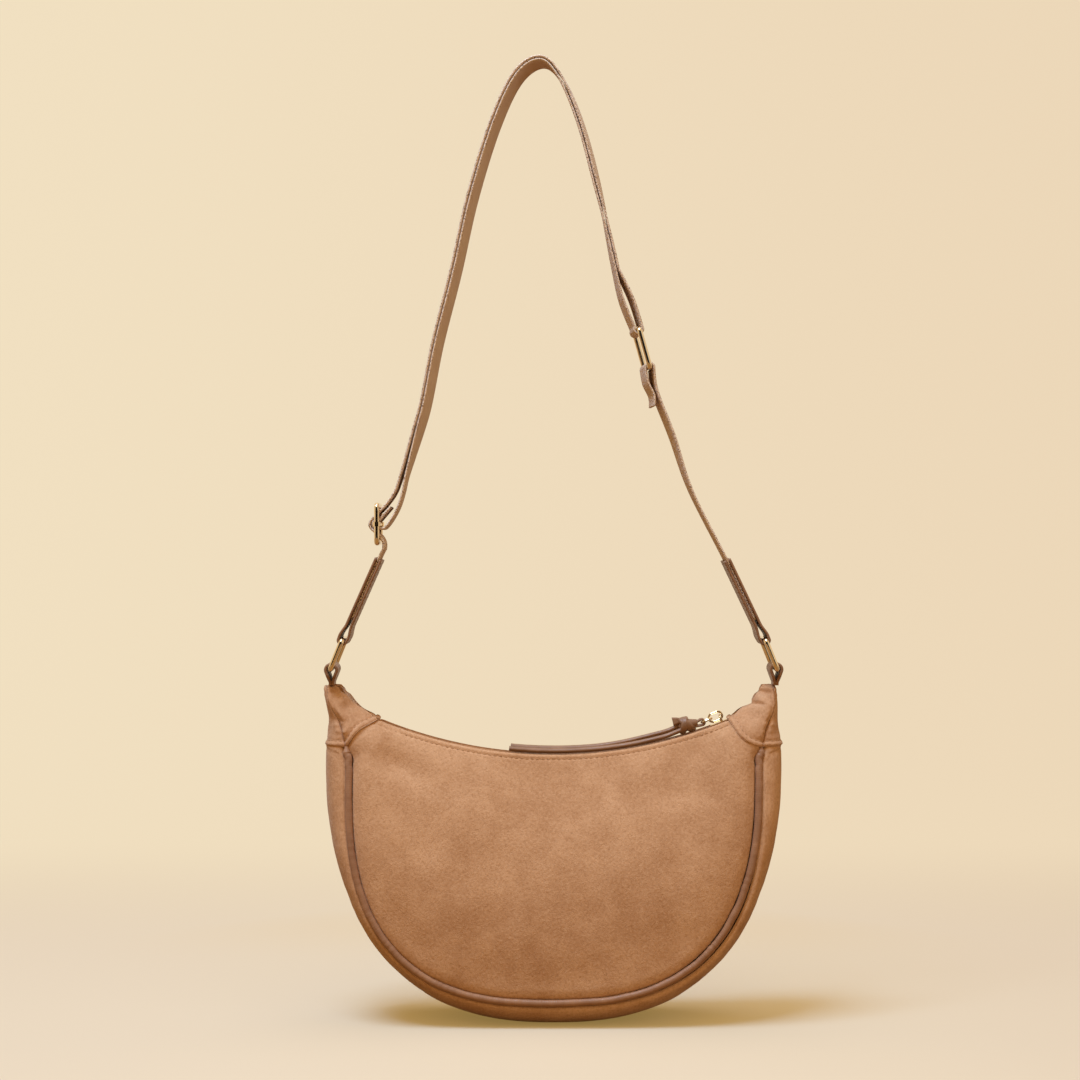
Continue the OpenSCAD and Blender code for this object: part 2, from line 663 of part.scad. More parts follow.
collar_h = 3;
collar_t = 0.9;
collar_slack = 0.05;
module buckle_bar() {
  inside = ring_half_w - wire_d / 2 - collar_t / 2;
  color(gold) translate([buckle_at[0], 0, buckle_at[1]]) union() {
    rotate([90, 0, 0]) cylinder(d = wire_d, h = 2 * inside, center = true, $fn = 32);
    for (side = [-1, 1])
      translate([0, side * ring_half_w, -collar_h / 2]) difference() {
        cylinder(d = wire_d + 2 * collar_t, h = collar_h, $fn = 48);
        translate([0, 0, -join])
          cylinder(d = wire_d + 2 * collar_slack, h = collar_h + 2 * join, $fn = 48);
      }
  }
}

panel(-1);  // front_panel
panel(1);  // back_panel
gusset();
piping(-1);  // front_piping
piping(1);  // back_piping
lining(-1);  // front_lining
lining(1);  // back_lining
gusset_lining();
cap_face(-1, -1);  // left_cap_front
cap_face(-1, 1);  // left_cap_back
cap_side(-1);  // left_cap_side
cap_face(1, -1);  // right_cap_front
cap_face(1, 1);  // right_cap_back
cap_side(1);  // right_cap_side
zip_tape(-1);  // front_zip_tape
zip_tape(1);  // back_zip_tape
zip_teeth(-1);  // front_zip_teeth
zip_teeth(1);  // back_zip_teeth
zip_end(-1);  // left_zip_end
zip_end(1);  // right_zip_end
zip_slider();
oval_link();
small_link();
pull_thong();
tab(-1);  // left_tab
tab(1);  // right_tab
side_ring(-1);  // left_ring
side_ring(1);  // right_ring
left_chape();
right_chape();
long_webbing();
short_webbing();
oblong_ring();
buckle_frame();
buckle_bar();
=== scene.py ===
"""Dresses the half moon shoulder bag: suede shell, horn caps, arched zip, thong pull and webbing strap.

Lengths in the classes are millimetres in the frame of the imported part; meshes are made in metres.
"""

import json
import logging
import math
from dataclasses import dataclass, field
from enum import Enum
from typing import Callable, Sequence

import bpy  # noqa: E402
import numpy as np  # noqa: E402
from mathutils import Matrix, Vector  # noqa: E402

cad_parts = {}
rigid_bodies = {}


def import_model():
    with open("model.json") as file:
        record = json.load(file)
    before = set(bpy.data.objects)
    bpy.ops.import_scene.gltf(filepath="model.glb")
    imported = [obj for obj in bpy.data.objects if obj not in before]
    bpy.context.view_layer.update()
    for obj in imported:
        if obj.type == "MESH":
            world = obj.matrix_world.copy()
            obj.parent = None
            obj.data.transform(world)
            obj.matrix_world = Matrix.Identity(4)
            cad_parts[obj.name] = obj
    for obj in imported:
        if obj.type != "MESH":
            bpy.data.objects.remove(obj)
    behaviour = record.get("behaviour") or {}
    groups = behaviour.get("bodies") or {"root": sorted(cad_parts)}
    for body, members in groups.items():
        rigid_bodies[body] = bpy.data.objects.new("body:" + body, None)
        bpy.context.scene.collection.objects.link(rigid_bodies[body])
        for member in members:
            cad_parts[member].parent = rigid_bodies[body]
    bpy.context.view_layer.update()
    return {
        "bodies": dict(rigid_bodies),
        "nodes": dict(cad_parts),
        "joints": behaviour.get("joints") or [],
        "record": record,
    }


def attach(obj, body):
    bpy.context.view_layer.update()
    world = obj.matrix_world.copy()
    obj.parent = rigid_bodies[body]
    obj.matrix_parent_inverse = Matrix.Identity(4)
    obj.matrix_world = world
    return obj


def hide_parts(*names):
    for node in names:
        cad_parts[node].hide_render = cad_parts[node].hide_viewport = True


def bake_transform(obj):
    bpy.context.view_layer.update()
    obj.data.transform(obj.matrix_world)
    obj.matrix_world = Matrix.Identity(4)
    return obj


LOG = logging.getLogger("bag")
MM = 0.001
FULL_TURN = 2 * math.pi

Rgb = tuple[int, int, int]
Triple = tuple[float, float, float]


# ---------------------------------------------------------------- shader tools


class Wire:
    """An output socket that takes part in Python arithmetic inside one shader."""

    def __init__(self, shader: "Shader", socket: bpy.types.NodeSocket) -> None:
        """Keeps the shader and the socket.

        Args:
            shader: The shader that owns the socket.
            socket: The output socket.
        """
        self.shader = shader
        self.socket = socket

    def _math(self, operation: str, a: "Wire | float", b: "Wire | float") -> "Wire":
        """Adds one Math node.

        Args:
            operation: The node's operation.
            a: First value.
            b: Second value.

        Returns:
            The node's result.
        """
        return self.shader.node("ShaderNodeMath", {"operation": operation}, {0: a, 1: b})

    def __add__(self, other: "Wire | float") -> "Wire":
        """Adds."""
        return self._math("ADD", self, other)

    def __radd__(self, other: float) -> "Wire":
        """Adds from the right."""
        return self._math("ADD", other, self)

    def __sub__(self, other: "Wire | float") -> "Wire":
        """Subtracts."""
        return self._math("SUBTRACT", self, other)

    def __rsub__(self, other: float) -> "Wire":
        """Subtracts from a number."""
        return self._math("SUBTRACT", other, self)

    def __mul__(self, other: "Wire | float") -> "Wire":
        """Multiplies."""
        return self._math("MULTIPLY", self, other)

    def __rmul__(self, other: float) -> "Wire":
        """Multiplies from the right."""
        return self._math("MULTIPLY", other, self)

    def __pow__(self, other: float) -> "Wire":
        """Raises to a power."""
        return self._math("POWER", self, other)

    def sine(self) -> "Wire":
        """Takes the sine."""
        return self._math("SINE", self, 0.0)

    def size(self) -> "Wire":
        """Takes the absolute value."""
        return self._math("ABSOLUTE", self, 0.0)

    def most(self, other: "Wire") -> "Wire":
        """Takes the larger of two values."""
        return self._math("MAXIMUM", self, other)

    def above(self, other: float) -> "Wire":
        """Gives 1 where the value is above a number."""
        return self._math("GREATER_THAN", self, other)

    def spread(self, low: float, high: float, to_low: float = 0.0, to_high: float = 1.0) -> "Wire":
        """Maps a range smoothly and clamps it.

        Args:
            low: Value that maps to to_low.
            high: Value that maps to to_high.
            to_low: Result at low.
            to_high: Result at high.

        Returns:
            The mapped value.
        """
        return self.shader.node(
            "ShaderNodeMapRange",
            {"interpolation_type": "SMOOTHSTEP"},
            {"Value": self, "From Min": low, "From Max": high, "To Min": to_low, "To Max": to_high},
        )


class Shader:
    """A material under construction: one Principled surface and the nodes that feed it."""

    def __init__(self, name: str, **sockets: object) -> None:
        """Makes the material and sets the Principled surface's constant sockets.

        Args:
            name: Name of the material.
            sockets: Constant values, with underscores for the spaces in socket names.
        """
        self.material = bpy.data.materials.new(name)
        self.material.use_nodes = True
        self.tree = self.material.node_tree
        self.surface = self.tree.nodes["Principled BSDF"]
        for key, value in sockets.items():
            self.surface.inputs[key.replace("_", " ")].default_value = value

    def node(self, kind: str, settings: dict | None = None, inputs: dict | None = None,
             output: int | str = 0) -> Wire:
        """Adds any node.

        Args:
            kind: The node's type.
            settings: Its own settings, set first.
            inputs: Values or wires of its sockets, by name or index.
            output: Which output to give back.

        Returns:
            The chosen output.
        """
        made = self.tree.nodes.new(kind)
        for key, value in (settings or {}).items():
            if key == "stops":
                ramp = made.color_ramp
                while len(ramp.elements) < len(value):
                    ramp.elements.new(0.5)
                for element, (place, colour) in zip(ramp.elements, value):
                    element.position = place
                    element.color = (*colour, 1.0)
            else:
                setattr(made, key, value)
        for key, value in (inputs or {}).items():
            if isinstance(value, Wire):
                self.tree.links.new(value.socket, made.inputs[key])
            else:
                made.inputs[key].default_value = value
        return Wire(self, made.outputs[output])

    def feed(self, socket: str, wire: Wire) -> None:
        """Feeds one of the surface's sockets.

        Args:
            socket: The socket's name.
            wire: What feeds it.
        """
        self.tree.links.new(wire.socket, self.surface.inputs[socket])

    def place(self) -> Wire:
        """Gives a point's place in the part's frame, in metres."""
        return self.node("ShaderNodeTexCoord", output="Object")

    def along(self) -> Wire:
        """Gives the mesh's own length coordinates, in metres."""
        return self.node("ShaderNodeTexCoord", output="UV")

    def parts(self, vector: Wire) -> tuple[Wire, Wire, Wire]:
        """Splits a vector.

        Args:
            vector: The vector.

        Returns:
            Its three components.
        """
        split = self.node("ShaderNodeSeparateXYZ", inputs={0: vector})
        outs = split.socket.node.outputs
        return Wire(self, outs[0]), Wire(self, outs[1]), Wire(self, outs[2])

    def rays(self) -> dict[str, Wire]:
        """Gives what the Light Path node says of a ray, by the names of its outputs."""
        path = self.node("ShaderNodeLightPath")
        return {out.name: Wire(self, out) for out in path.socket.node.outputs}

    def noise(self, vector: Wire, scale: float, detail: float = 2.0, rough: float = 0.5) -> Wire:
        """Adds a noise texture.

        Args:
            vector: Where it is read.
            scale: Waves per metre.
            detail: Octaves.
            rough: Strength of the finer octaves.

        Returns:
            The noise, from 0 to 1.
        """
        return self.node("ShaderNodeTexNoise", inputs={
            "Vector": vector, "Scale": scale, "Detail": detail, "Roughness": rough})

    def blend(self, share: Wire | float, a: "Wire | tuple", b: "Wire | tuple") -> Wire:
        """Mixes two colours.

        Args:
            share: Share of the second colour.
            a: First colour.
            b: Second colour.

        Returns:
            The mixed colour.
        """
        full = [(*c, 1.0) if isinstance(c, tuple) else c for c in (a, b)]
        return self.node("ShaderNodeMix", {"data_type": "RGBA"}, {0: share, 6: full[0], 7: full[1]}, 2)

    def bump(self, height: Wire, depth: float, strength: float = 1.0) -> None:
        """Lets a height bend the surface's normal.

        Args:
            height: The height, from 0 to 1.
            depth: Metres of relief at a height of 1.
            strength: How much of it shows.
        """
        made = self.node("ShaderNodeBump", inputs={"Height": height, "Distance": depth, "Strength": strength})
        self.feed("Normal", made)


class WorldShader(Shader):
    """The world's light under construction: one Background and the nodes that feed it."""

    def __init__(self, name: str) -> None:
        """Makes the world.

        Args:
            name: Name of the world.
        """
        self.world = bpy.data.worlds.new(name)
        self.world.use_nodes = True
        self.tree = self.world.node_tree
        self.surface = self.tree.nodes["Background"]


def tone(colour: Rgb, gain: float = 1.0) -> Triple:
    """Turns a screen colour into the linear colour that shaders use.

    Args:
        colour: Red, green and blue, 0 to 255.
        gain: How much brighter the result is.

    Returns:
        The linear colour.
    """
    def one(c: int) -> float:
        """Converts one channel."""
        f = c / 255
        return f / 12.92 if f <= 0.04045 else ((f + 0.055) / 1.055) ** 2.4
    return tuple(gain * one(c) for c in colour)


# ---------------------------------------------------------------- finishes


@dataclass(frozen=True)
class Suede:
    """Napped suede: a soft pile with brushed patches over a short grain, whose tone is painted paler on the
    raised tufts as a highlight and darker in the hollows as shade.
    """

    name: str
    lit: Rgb = (217, 174, 139)
    deep: Rgb = (188, 142, 106)
    tuft_tone_and_highlight: Rgb = (228, 190, 158)
    hollow_tone_and_shade: Rgb = (168, 122, 86)
    grain: float = 620.0
    relief: float = 0.0007

    def make(self) -> bpy.types.Material:
        """Builds the material.

        Returns:
            The material with its nodes.
        """
        sh = Shader(self.name, Roughness=0.92, Specular_IOR_Level=0.18, Sheen_Weight=0.28,
                    Sheen_Roughness=0.45, Sheen_Tint=(1.0, 0.86, 0.72, 1.0))
        at = sh.place()
        patches = sh.noise(at, 19.0, 2.5, 0.5).spread(0.32, 0.68)
        brushed = sh.noise(at, 60.0, 4.0, 0.6).spread(0.3, 0.72)
        lean = sh.node("ShaderNodeMapping", inputs={
            "Vector": at, "Rotation": (0.1, 0.5, 0.2), "Scale": (1.0, 1.0, 0.86)})
        nap = sh.noise(lean, self.grain, 3.0, 0.62)
        fibre = sh.noise(lean, self.grain * 3.1, 2.0, 0.6)
        tuft = nap * 0.66 + fibre * 0.34
        body = sh.blend(patches * 0.5 + brushed * 0.5, tone(self.deep), tone(self.lit))
        # Paler on the raised tufts of the nap: grain tone plus a painted highlight.
        body = sh.blend(tuft.spread(0.5, 0.66) * 0.34, body, tone(self.tuft_tone_and_highlight))
        # Darker in the hollows of the nap: grain tone plus painted shade.
        body = sh.blend((1.0 - tuft.spread(0.36, 0.5)) * 0.42, body, tone(self.hollow_tone_and_shade))
        sh.feed("Base Color", body)
        sh.feed("Roughness", fibre.spread(0.2, 0.8, 0.86, 0.98))
        sh.bump(tuft + brushed * 0.25, self.relief, 0.85)
        return sh.material


@dataclass(frozen=True)
class SmoothLeather:
    """Smooth leather with a light cross crimp, a soft gloss and paler high spots."""

    name: str
    base: Rgb = (160, 116, 84)
    deep: Rgb = (118, 80, 54)
    crimps: float = 0.0
    gloss: float = 0.48

    def make(self) -> bpy.types.Material:
        """Builds the material.

        Returns:
            The material with its nodes.
        """
        sh = Shader(self.name, Roughness=self.gloss, Specular_IOR_Level=0.42, Sheen_Weight=0.06)
        at = sh.place()
        mottle = sh.noise(at, 55.0, 3.0, 0.6).spread(0.3, 0.72)
        cells = sh.node("ShaderNodeTexVoronoi", {"feature": "SMOOTH_F1"},
                        {"Vector": at, "Scale": 1250.0, "Smoothness": 0.6})
        creases = sh.noise(at, 420.0, 4.0, 0.65)
        body = sh.blend(mottle * 0.7 + creases * 0.3, tone(self.deep), tone(self.base))
        body = sh.blend(creases.spread(0.55, 0.8) * 0.25, body, tone(self.base, 1.25))
        sh.feed("Base Color", body)
        sh.feed("Roughness", creases.spread(0.25, 0.8, self.gloss - 0.1, self.gloss + 0.16))
        height = cells * 0.35 + creases * 0.4
        if self.crimps:
            _, run, _ = sh.parts(sh.along())
            wobble = sh.noise(at, 260.0, 2.0)
            height = height + ((run * self.crimps + wobble * 5.0).sine() * 0.5 + 0.5) * 0.35
        sh.bump(height, 0.00022, 0.6)
        return sh.material


@dataclass(frozen=True)
class Webbing:
    """Woven webbing: a plain pinkish face and a speckled dark and pale selvedge."""

    name: str
    face: Rgb = (242, 224, 210)
    shade: Rgb = (230, 206, 190)
    dark_yarn: Rgb = (104, 74, 58)
    pale_yarn: Rgb = (246, 232, 222)
    pitch: float = 0.0011
    half_width: float = 0.0145

    def make(self) -> bpy.types.Material:
        """Builds the material.

        Returns:
            The material with its nodes.
        """
        sh = Shader(self.name, Roughness=0.85, Specular_IOR_Level=0.2, Sheen_Weight=0.15)
        at = sh.place()
        across, run, _ = sh.parts(sh.along())
        turn = FULL_TURN / self.pitch
        rib = (across * turn).sine()
        pick = (run * turn + rib.above(0.0) * math.pi).sine()
        weave = (rib * 0.25 + pick * 0.45) * 0.5 + 0.5
        fuzz = sh.noise(at, 900.0, 3.0, 0.6)
        mottle = sh.noise(at, 60.0, 2.0, 0.5)
        body = sh.blend((weave * 0.5 + mottle * 0.5).spread(0.2, 0.8), tone(self.shade), tone(self.face))
        edge = (across - self.half_width).size().spread(0.0128, 0.0141)
        speck = sh.noise(at, 1100.0, 2.0, 0.75)
        body = sh.blend(edge * speck.spread(0.53, 0.6) * 0.85, body, tone(self.dark_yarn))
        body = sh.blend(edge * (1.0 - speck.spread(0.4, 0.47)) * 0.8, body, tone(self.pale_yarn))
        sh.feed("Base Color", body)
        sh.bump(weave * 0.7 + fuzz * 0.4, 0.0003, 0.75)
        return sh.material


@dataclass(frozen=True)
class Twill:
    """Fine woven cloth for the zip tape and the lining."""

    name: str
    base: Rgb = (176, 138, 102)
    deep: Rgb = (138, 102, 70)
    pitch: float = 0.0008

    def make(self) -> bpy.types.Material:
        """Builds the material.

        Returns:
            The material with its nodes.
        """
        sh = Shader(self.name, Roughness=0.8, Specular_IOR_Level=0.2, Sheen_Weight=0.1)
        at = sh.place()
        x, y, z = sh.parts(at)
        turn = FULL_TURN / self.pitch
        slope = ((x + y + z) * turn).sine()
        cross = ((x - y * 1.6) * turn).sine()
        mottle = sh.noise(at, 40.0, 2.0)
        body = sh.blend(slope * 0.2 + cross * 0.15 + mottle, tone(self.deep), tone(self.base))
        sh.feed("Base Color", body)
        sh.feed("Roughness", mottle.spread(0.2, 0.8, 0.74, 0.88))
        sh.bump(slope * 0.5 + cross * 0.3 + 0.5, 0.0002, 0.6)
        return sh.material


@dataclass(frozen=True)
class GoldMetal:
    """Polished pale gold plating with faint scuffs."""

    name: str
    base: Rgb = (240, 212, 170)
    gloss: float = 0.08

    def make(self) -> bpy.types.Material:
        """Builds the material.

        Returns:
            The material with its nodes.
        """
        sh = Shader(self.name, Metallic=1.0, Roughness=self.gloss)
        at = sh.place()
        haze = sh.noise(at, 180.0, 4.0, 0.6)
        scuff = sh.noise(at, 1600.0, 2.0, 0.6)
        body = sh.blend(haze.spread(0.3, 0.75), tone(self.base), tone(self.base, 0.86))
        sh.feed("Base Color", body)
        wear = haze * 0.6 + scuff * 0.4
        sh.feed("Roughness", wear.spread(0.3, 0.75, self.gloss - 0.04, self.gloss + 0.08))
        sh.bump(scuff * 0.5 + haze * 0.5, 0.00002, 0.2)
        return sh.material


@dataclass(frozen=True)
class Thread:
    """Stitching thread, twisted, a little darker than what it sews."""

    name: str
    base: Rgb = (198, 154, 118)

    def make(self) -> bpy.types.Material:
        """Builds the material.

        Returns:
            The material with its nodes.
        """
        sh = Shader(self.name, Roughness=0.7, Specular_IOR_Level=0.25)
        ply = sh.noise(sh.place(), 2600.0, 2.0, 0.6)
        sh.feed("Base Color", sh.blend(ply.spread(0.3, 0.7), tone(self.base, 0.7), tone(self.base)))
        sh.bump(ply, 0.0001, 0.5)
        return sh.material


@dataclass(frozen=True)
class Backdrop:
    """A pale paper sweep that keeps the bag's shadow near it, tinted and lightened there by a painted warm
    glow, and its own plain tone further off.
    """

    name: str = "studio_paper"
    ground_near: Rgb = (225, 219, 210)
    ground_far: Rgb = (220, 206, 187)
    warm_shadow_glow: Rgb = (232, 192, 112)
    bounce: Rgb = (128, 92, 56)
    left: Rgb = (241, 224, 193)
    right: Rgb = (236, 215, 184)

    def make(self) -> bpy.types.Material:
        """Builds the material.

        Returns:
            The material with its nodes.
        """
        sh = Shader(self.name, Roughness=0.95, Specular_IOR_Level=0.0)
        x, y, z = sh.parts(sh.place())
        far = (y + z * 2.0).spread(0.18, 0.9)
        # The paper's plain tone is a little brighter to the left than to the right: a painted fall-off of the
        # light from the left.
        plain = sh.blend(x.spread(-1.2, 1.2), tone(self.left), tone(self.right))
        clear = far.spread(0.0, 0.35) + x.size().spread(0.14, 0.4)
        paper = sh.blend(clear, tone(self.ground_near), tone(self.ground_far))
        # Near the bag, part of what the camera sees of the paper is a warm yellow glow: painted light that
        # tints and lightens the bag's shadow.
        glow = sh.node("ShaderNodeEmission", inputs={
            "Color": sh.blend(clear, tone(self.warm_shadow_glow), plain), "Strength": 1.0})
        rays = sh.rays()
        sh.feed("Base Color", sh.blend(rays["Is Camera Ray"], tone(self.bounce), paper))
        seen = rays["Is Camera Ray"].most(rays["Is Glossy Ray"]).most(rays["Is Transmission Ray"])
        mixed = sh.node("ShaderNodeMixShader", inputs={
            0: seen * (far * 0.7 + 0.3), 1: Wire(sh, sh.surface.outputs[0]), 2: glow})
        sh.tree.links.new(mixed.socket, sh.tree.nodes["Material Output"].inputs["Surface"])
        return sh.material


@dataclass(frozen=True)
class Card:
    """Matt black card."""

    name: str = "black_card"
    base: Rgb = (34, 30, 26)

    def make(self) -> bpy.types.Material:
        """Builds the material.

        Returns:
            The material with its nodes.
        """
        sh = Shader(self.name, Roughness=0.95, Specular_IOR_Level=0.1)
        felt = sh.noise(sh.place(), 90.0, 3.0, 0.6)
        sh.feed("Base Color", sh.blend(felt, tone(self.base), tone(self.base, 1.6)))
        return sh.material


@dataclass(frozen=True)
class Surroundings:
    """The plain warm room: dimmer to the left and right, and as pale as the paper where metal mirrors it."""

    warm: Triple = (0.99, 0.653, 0.267)
    pale: Rgb = (240, 224, 196)
    dim: float = 0.68

    def make(self) -> bpy.types.World:
        """Builds the world.

        Returns:
            The world with its nodes.
        """
        sh = WorldShader("studio_world")
        x, _, _ = sh.parts(sh.node("ShaderNodeTexCoord", output="Generated"))
        rays = sh.rays()
        seen = rays["Is Camera Ray"] + rays["Is Glossy Ray"] + rays["Is Transmission Ray"]
        light = sh.blend(x * x * self.dim, self.warm, (0.0, 0.0, 0.0))
        sh.feed("Color", sh.blend(seen, light, tone(self.pale)))
        return sh.world


# ---------------------------------------------------------------- mesh tools


Grid = np.ndarray
Surface = Callable[[Grid, Grid], Grid]
ACROSS = np.array([0.0, 1.0, 0.0])


def mix(a: object, b: object, t: object) -> object:
    """Goes from a to b as t goes from 0 to 1."""
    return a + (b - a) * t


def power(c: Grid, p: float) -> Grid:
    """Raises a size to a power and keeps its sign."""
    return np.sign(c) * np.abs(c) ** p


def smooth_step(x: Grid, low: float, high: float) -> Grid:
    """Rises smoothly from 0 at low to 1 at high."""
    t = np.clip((x - low) / (high - low), 0.0, 1.0)
    return t * t * (3 - 2 * t)


def unit(v: Grid) -> Grid:
    """Scales vectors to a length of 1."""
    return v / np.maximum(np.linalg.norm(v, axis=-1, keepdims=True), 1e-12)


def bell(x: Grid, middle: float, width: float, sharp: float = 2.0) -> Grid:
    """Rises to 1 at its middle and falls away smoothly on both sides."""
    return np.exp(-np.abs((x - middle) / width) ** sharp)


def travel(points: Grid, axis: int = 0) -> Grid:
    """Gives how far each point is from the start of its line."""
    steps = np.linalg.norm(np.diff(points, axis=axis), axis=-1)
    return np.insert(np.cumsum(steps, axis=axis), 0, 0.0, axis=axis)


def stretches(ends: Sequence[float], counts: Sequence[int]) -> Grid:
    """Gives places that divide each stretch between two ends evenly.

    Args:
        ends: Ends of the stretches, in rising order.
        counts: Places in each stretch; the last end comes on top.

    Returns:
        The places.
    """
    parts = [np.linspace(a, b, n, endpoint=False) for a, b, n in zip(ends, ends[1:], counts)]
    return np.append(np.concatenate(parts), ends[-1])


def rising(places: Grid, way: int) -> Grid:
    """Gives places for the positive way, or their mirror images in rising order."""
    return places if way > 0 else -places[::-1]


def upright(flat: Grid) -> Grid:
    """Places points that are given as x and z on the bag's middle plane."""
    return np.stack([flat[:, 0], np.zeros(len(flat)), flat[:, 1]], -1)


def distance_to(points: Grid, line: Grid) -> Grid:
    """Gives how far points are from a line, all as x and z.

    Args:
        points: The points.
        line: The line's own points.

    Returns:
        The distances.
    """
    flat = points.reshape(-1, 1, 2)
    a, b = line[:-1], line[1:]
    way = b - a
    t = np.clip(np.sum((flat - a) * way, -1) / np.maximum(np.sum(way * way, -1), 1e-9), 0, 1)
    near = np.min(np.linalg.norm(flat - (a + t[..., None] * way), axis=-1), -1)
    return near.reshape(points.shape[:-1])


def cloud(x: Grid, y: Grid, seed: int, waves: int = 14, scale: float = 60.0) -> Grid:
    """Gives a soft random field of a size of about 1.

    Args:
        x: First coordinate, in millimetres.
        y: Second coordinate, in millimetres.
        seed: Number that picks the field.
        waves: Waves that are added up.
        scale: Typical length of a wave, in millimetres.

    Returns:
        The field's value at each point.
    """
    rng = np.random.default_rng(seed)
    out = np.zeros(np.broadcast(x, y).shape)
    for _ in range(waves):
        angle, phase = rng.uniform(0, FULL_TURN, 2)
        k = FULL_TURN / (scale * rng.uniform(0.6, 1.8))
        out = out + np.sin(k * (x * math.cos(angle) + y * math.sin(angle)) + phase)
    return out / math.sqrt(waves)


def add_mesh(name: str, points: Grid, faces: Sequence[Sequence[int]], material: bpy.types.Material,
             uvs: Grid | None = None) -> bpy.types.Object:
    """Makes a mesh object from points in millimetres.

    Args:
        name: Name of the piece.
        points: Points, in millimetres.
        faces: Corner numbers of each face.
        material: What it is made of.
        uvs: Length coordinates of each point, in millimetres.

    Returns:
        The object.
    """
    mesh = bpy.data.meshes.new(name)
    mesh.from_pydata((np.asarray(points, float) * MM).tolist(), [], [list(map(int, f)) for f in faces])
    mesh.materials.append(material)
    if uvs is not None:
        layer = mesh.uv_layers.new(name="length")
        corner = np.empty(len(mesh.loops), int)
        mesh.loops.foreach_get("vertex_index", corner)
        layer.data.foreach_set("uv", (np.asarray(uvs, float)[corner] * MM).ravel())
    mesh.validate()
    mesh.polygons.foreach_set("use_smooth", [True] * len(mesh.polygons))
    mesh.update()
    made = bpy.data.objects.new(name, mesh)
    bpy.context.scene.collection.objects.link(made)
    return made


def grid_faces(rows: int, cols: int, first: int = 0, turn: bool = False) -> list[tuple[int, ...]]:
    """Gives the quads of a grid of points.

    Args:
        rows: Points along the first direction.
        cols: Points along the second.
        first: Number of the first point.
        turn: Whether the quads are turned over.

    Returns:
        The quads.
    """
    out = []
    for i in range(rows - 1):
        for j in range(cols - 1):
            k = first + i * cols + j
            quad = (k, k + cols, k + cols + 1, k + 1)
            out.append(quad[::-1] if turn else quad)
    return out


def sweep_faces(rings: int, sides: int, closed: bool = False, first: int = 0) -> list[tuple[int, ...]]:
    """Gives the faces of a bar that runs from ring to ring, and its end caps if it is open.

    Args:
        rings: Rings of points along the bar.
        sides: Points of each ring.
        closed: Whether the last ring joins the first.
        first: Number of the first point.

    Returns:
        The faces.
    """
    out = []
    for i in range(rings if closed else rings - 1):
        a, b = first + i * sides, first + (i + 1) % rings * sides
        out += [(a + k, a + (k + 1) % sides, b + (k + 1) % sides, b + k) for k in range(sides)]
    if not closed:
        last = first + (rings - 1) * sides
        out += [tuple(range(first, first + sides))[::-1], tuple(range(last, last + sides))]
    return out


def shell(name: str, outer: Grid, inner: Grid, material: bpy.types.Material, turn: bool) -> bpy.types.Object:
    """Makes a closed skin between two grids of points.

    Args:
        name: Name of the piece.
        outer: Outer points, as rows of columns of points.
        inner: Inner points.
        material: What it is made of.
        turn: Whether the outer faces are turned over.

    Returns:
        The object.
    """
    n, m = outer.shape[:2]
    k = n * m
    faces = grid_faces(n, m, 0, turn) + grid_faces(n, m, k, not turn)
    rim = ([i * m for i in range(n)] + [(n - 1) * m + j for j in range(1, m)]
           + [i * m + m - 1 for i in range(n - 2, -1, -1)] + [j for j in range(m - 2, 0, -1)])
    for a, b in zip(rim, rim[1:] + rim[:1]):
        quad = (a, a + k, b + k, b)
        faces.append(quad if turn else quad[::-1])
    uv = np.stack([travel(outer, 1), travel(outer)], -1).reshape(-1, 2)
    return add_mesh(name, np.concatenate([outer.reshape(-1, 3), inner.reshape(-1, 3)]), faces, material,
                    np.concatenate([uv, uv]))


def way_out(f: Surface, u: Grid, v: Grid, turn: float) -> Grid:
    """Gives the outward direction of a surface.

    Args:
        f: The surface.
        u: First coordinate.
        v: Second coordinate.
        turn: 1 or -1, for the side that is outside.

    Returns:
        The directions.
    """
    h, tip = 0.001, 0.985
    a = np.clip(u, -tip, tip)
    return turn * unit(np.cross(f(a + h, v) - f(a - h, v), f(a, v + h) - f(a, v - h)))


def frames(path: Grid) -> tuple[Grid, Grid, Grid]:
    """Gives directions along and across a path that twist as little as they can.

    Args:
        path: The path's points.

    Returns:
        The directions along it, and two across it.
    """
    along = unit(np.gradient(path, axis=0))
    start = np.array([0.0, 1.0, 0.0]) if abs(along[0][1]) < 0.9 else np.array([1.0, 0.0, 0.0])
    side = unit(start - along[0] * start.dot(along[0]))
    first = [side]
    for t in along[1:]:
        side = unit(side - t * side.dot(t))
        first.append(side)
    a = np.array(first)
    return along, a, np.cross(along, a)


def tube(name: str, path: Grid, radius: float | Grid, material: bpy.types.Material, closed: bool = False,
         sides: int = 20, squash: float = 1.0) -> bpy.types.Object:
    """Makes a round bar along a path.

    Args:
        name: Name of the piece.
        path: Points of its middle line, in millimetres.
        radius: Its radius, or one for each point.
        material: What it is made of.
        closed: Whether the path closes on itself.
        sides: Corners of its section.
        squash: Its height over its width.

    Returns:
        The object.
    """
    if closed:
        around = np.concatenate([path[-1:], path, path[:1]])
        along, a, b = (x[1:-1] for x in frames(around))
    else:
        along, a, b = frames(path)
    n = len(path)
    r = np.broadcast_to(np.asarray(radius, float), (n,))[:, None, None]
    angle = np.linspace(0, FULL_TURN, sides, endpoint=False)
    wide, high = np.cos(angle)[None, :, None], squash * np.sin(angle)[None, :, None]
    ring = path[:, None] + r * (wide * a[:, None] + high * b[:, None])
    uv = np.stack([np.tile(angle, n) * np.mean(r), np.repeat(travel(path), sides)], -1)
    return add_mesh(name, ring.reshape(-1, 3), sweep_faces(n, sides, closed), material, uv)


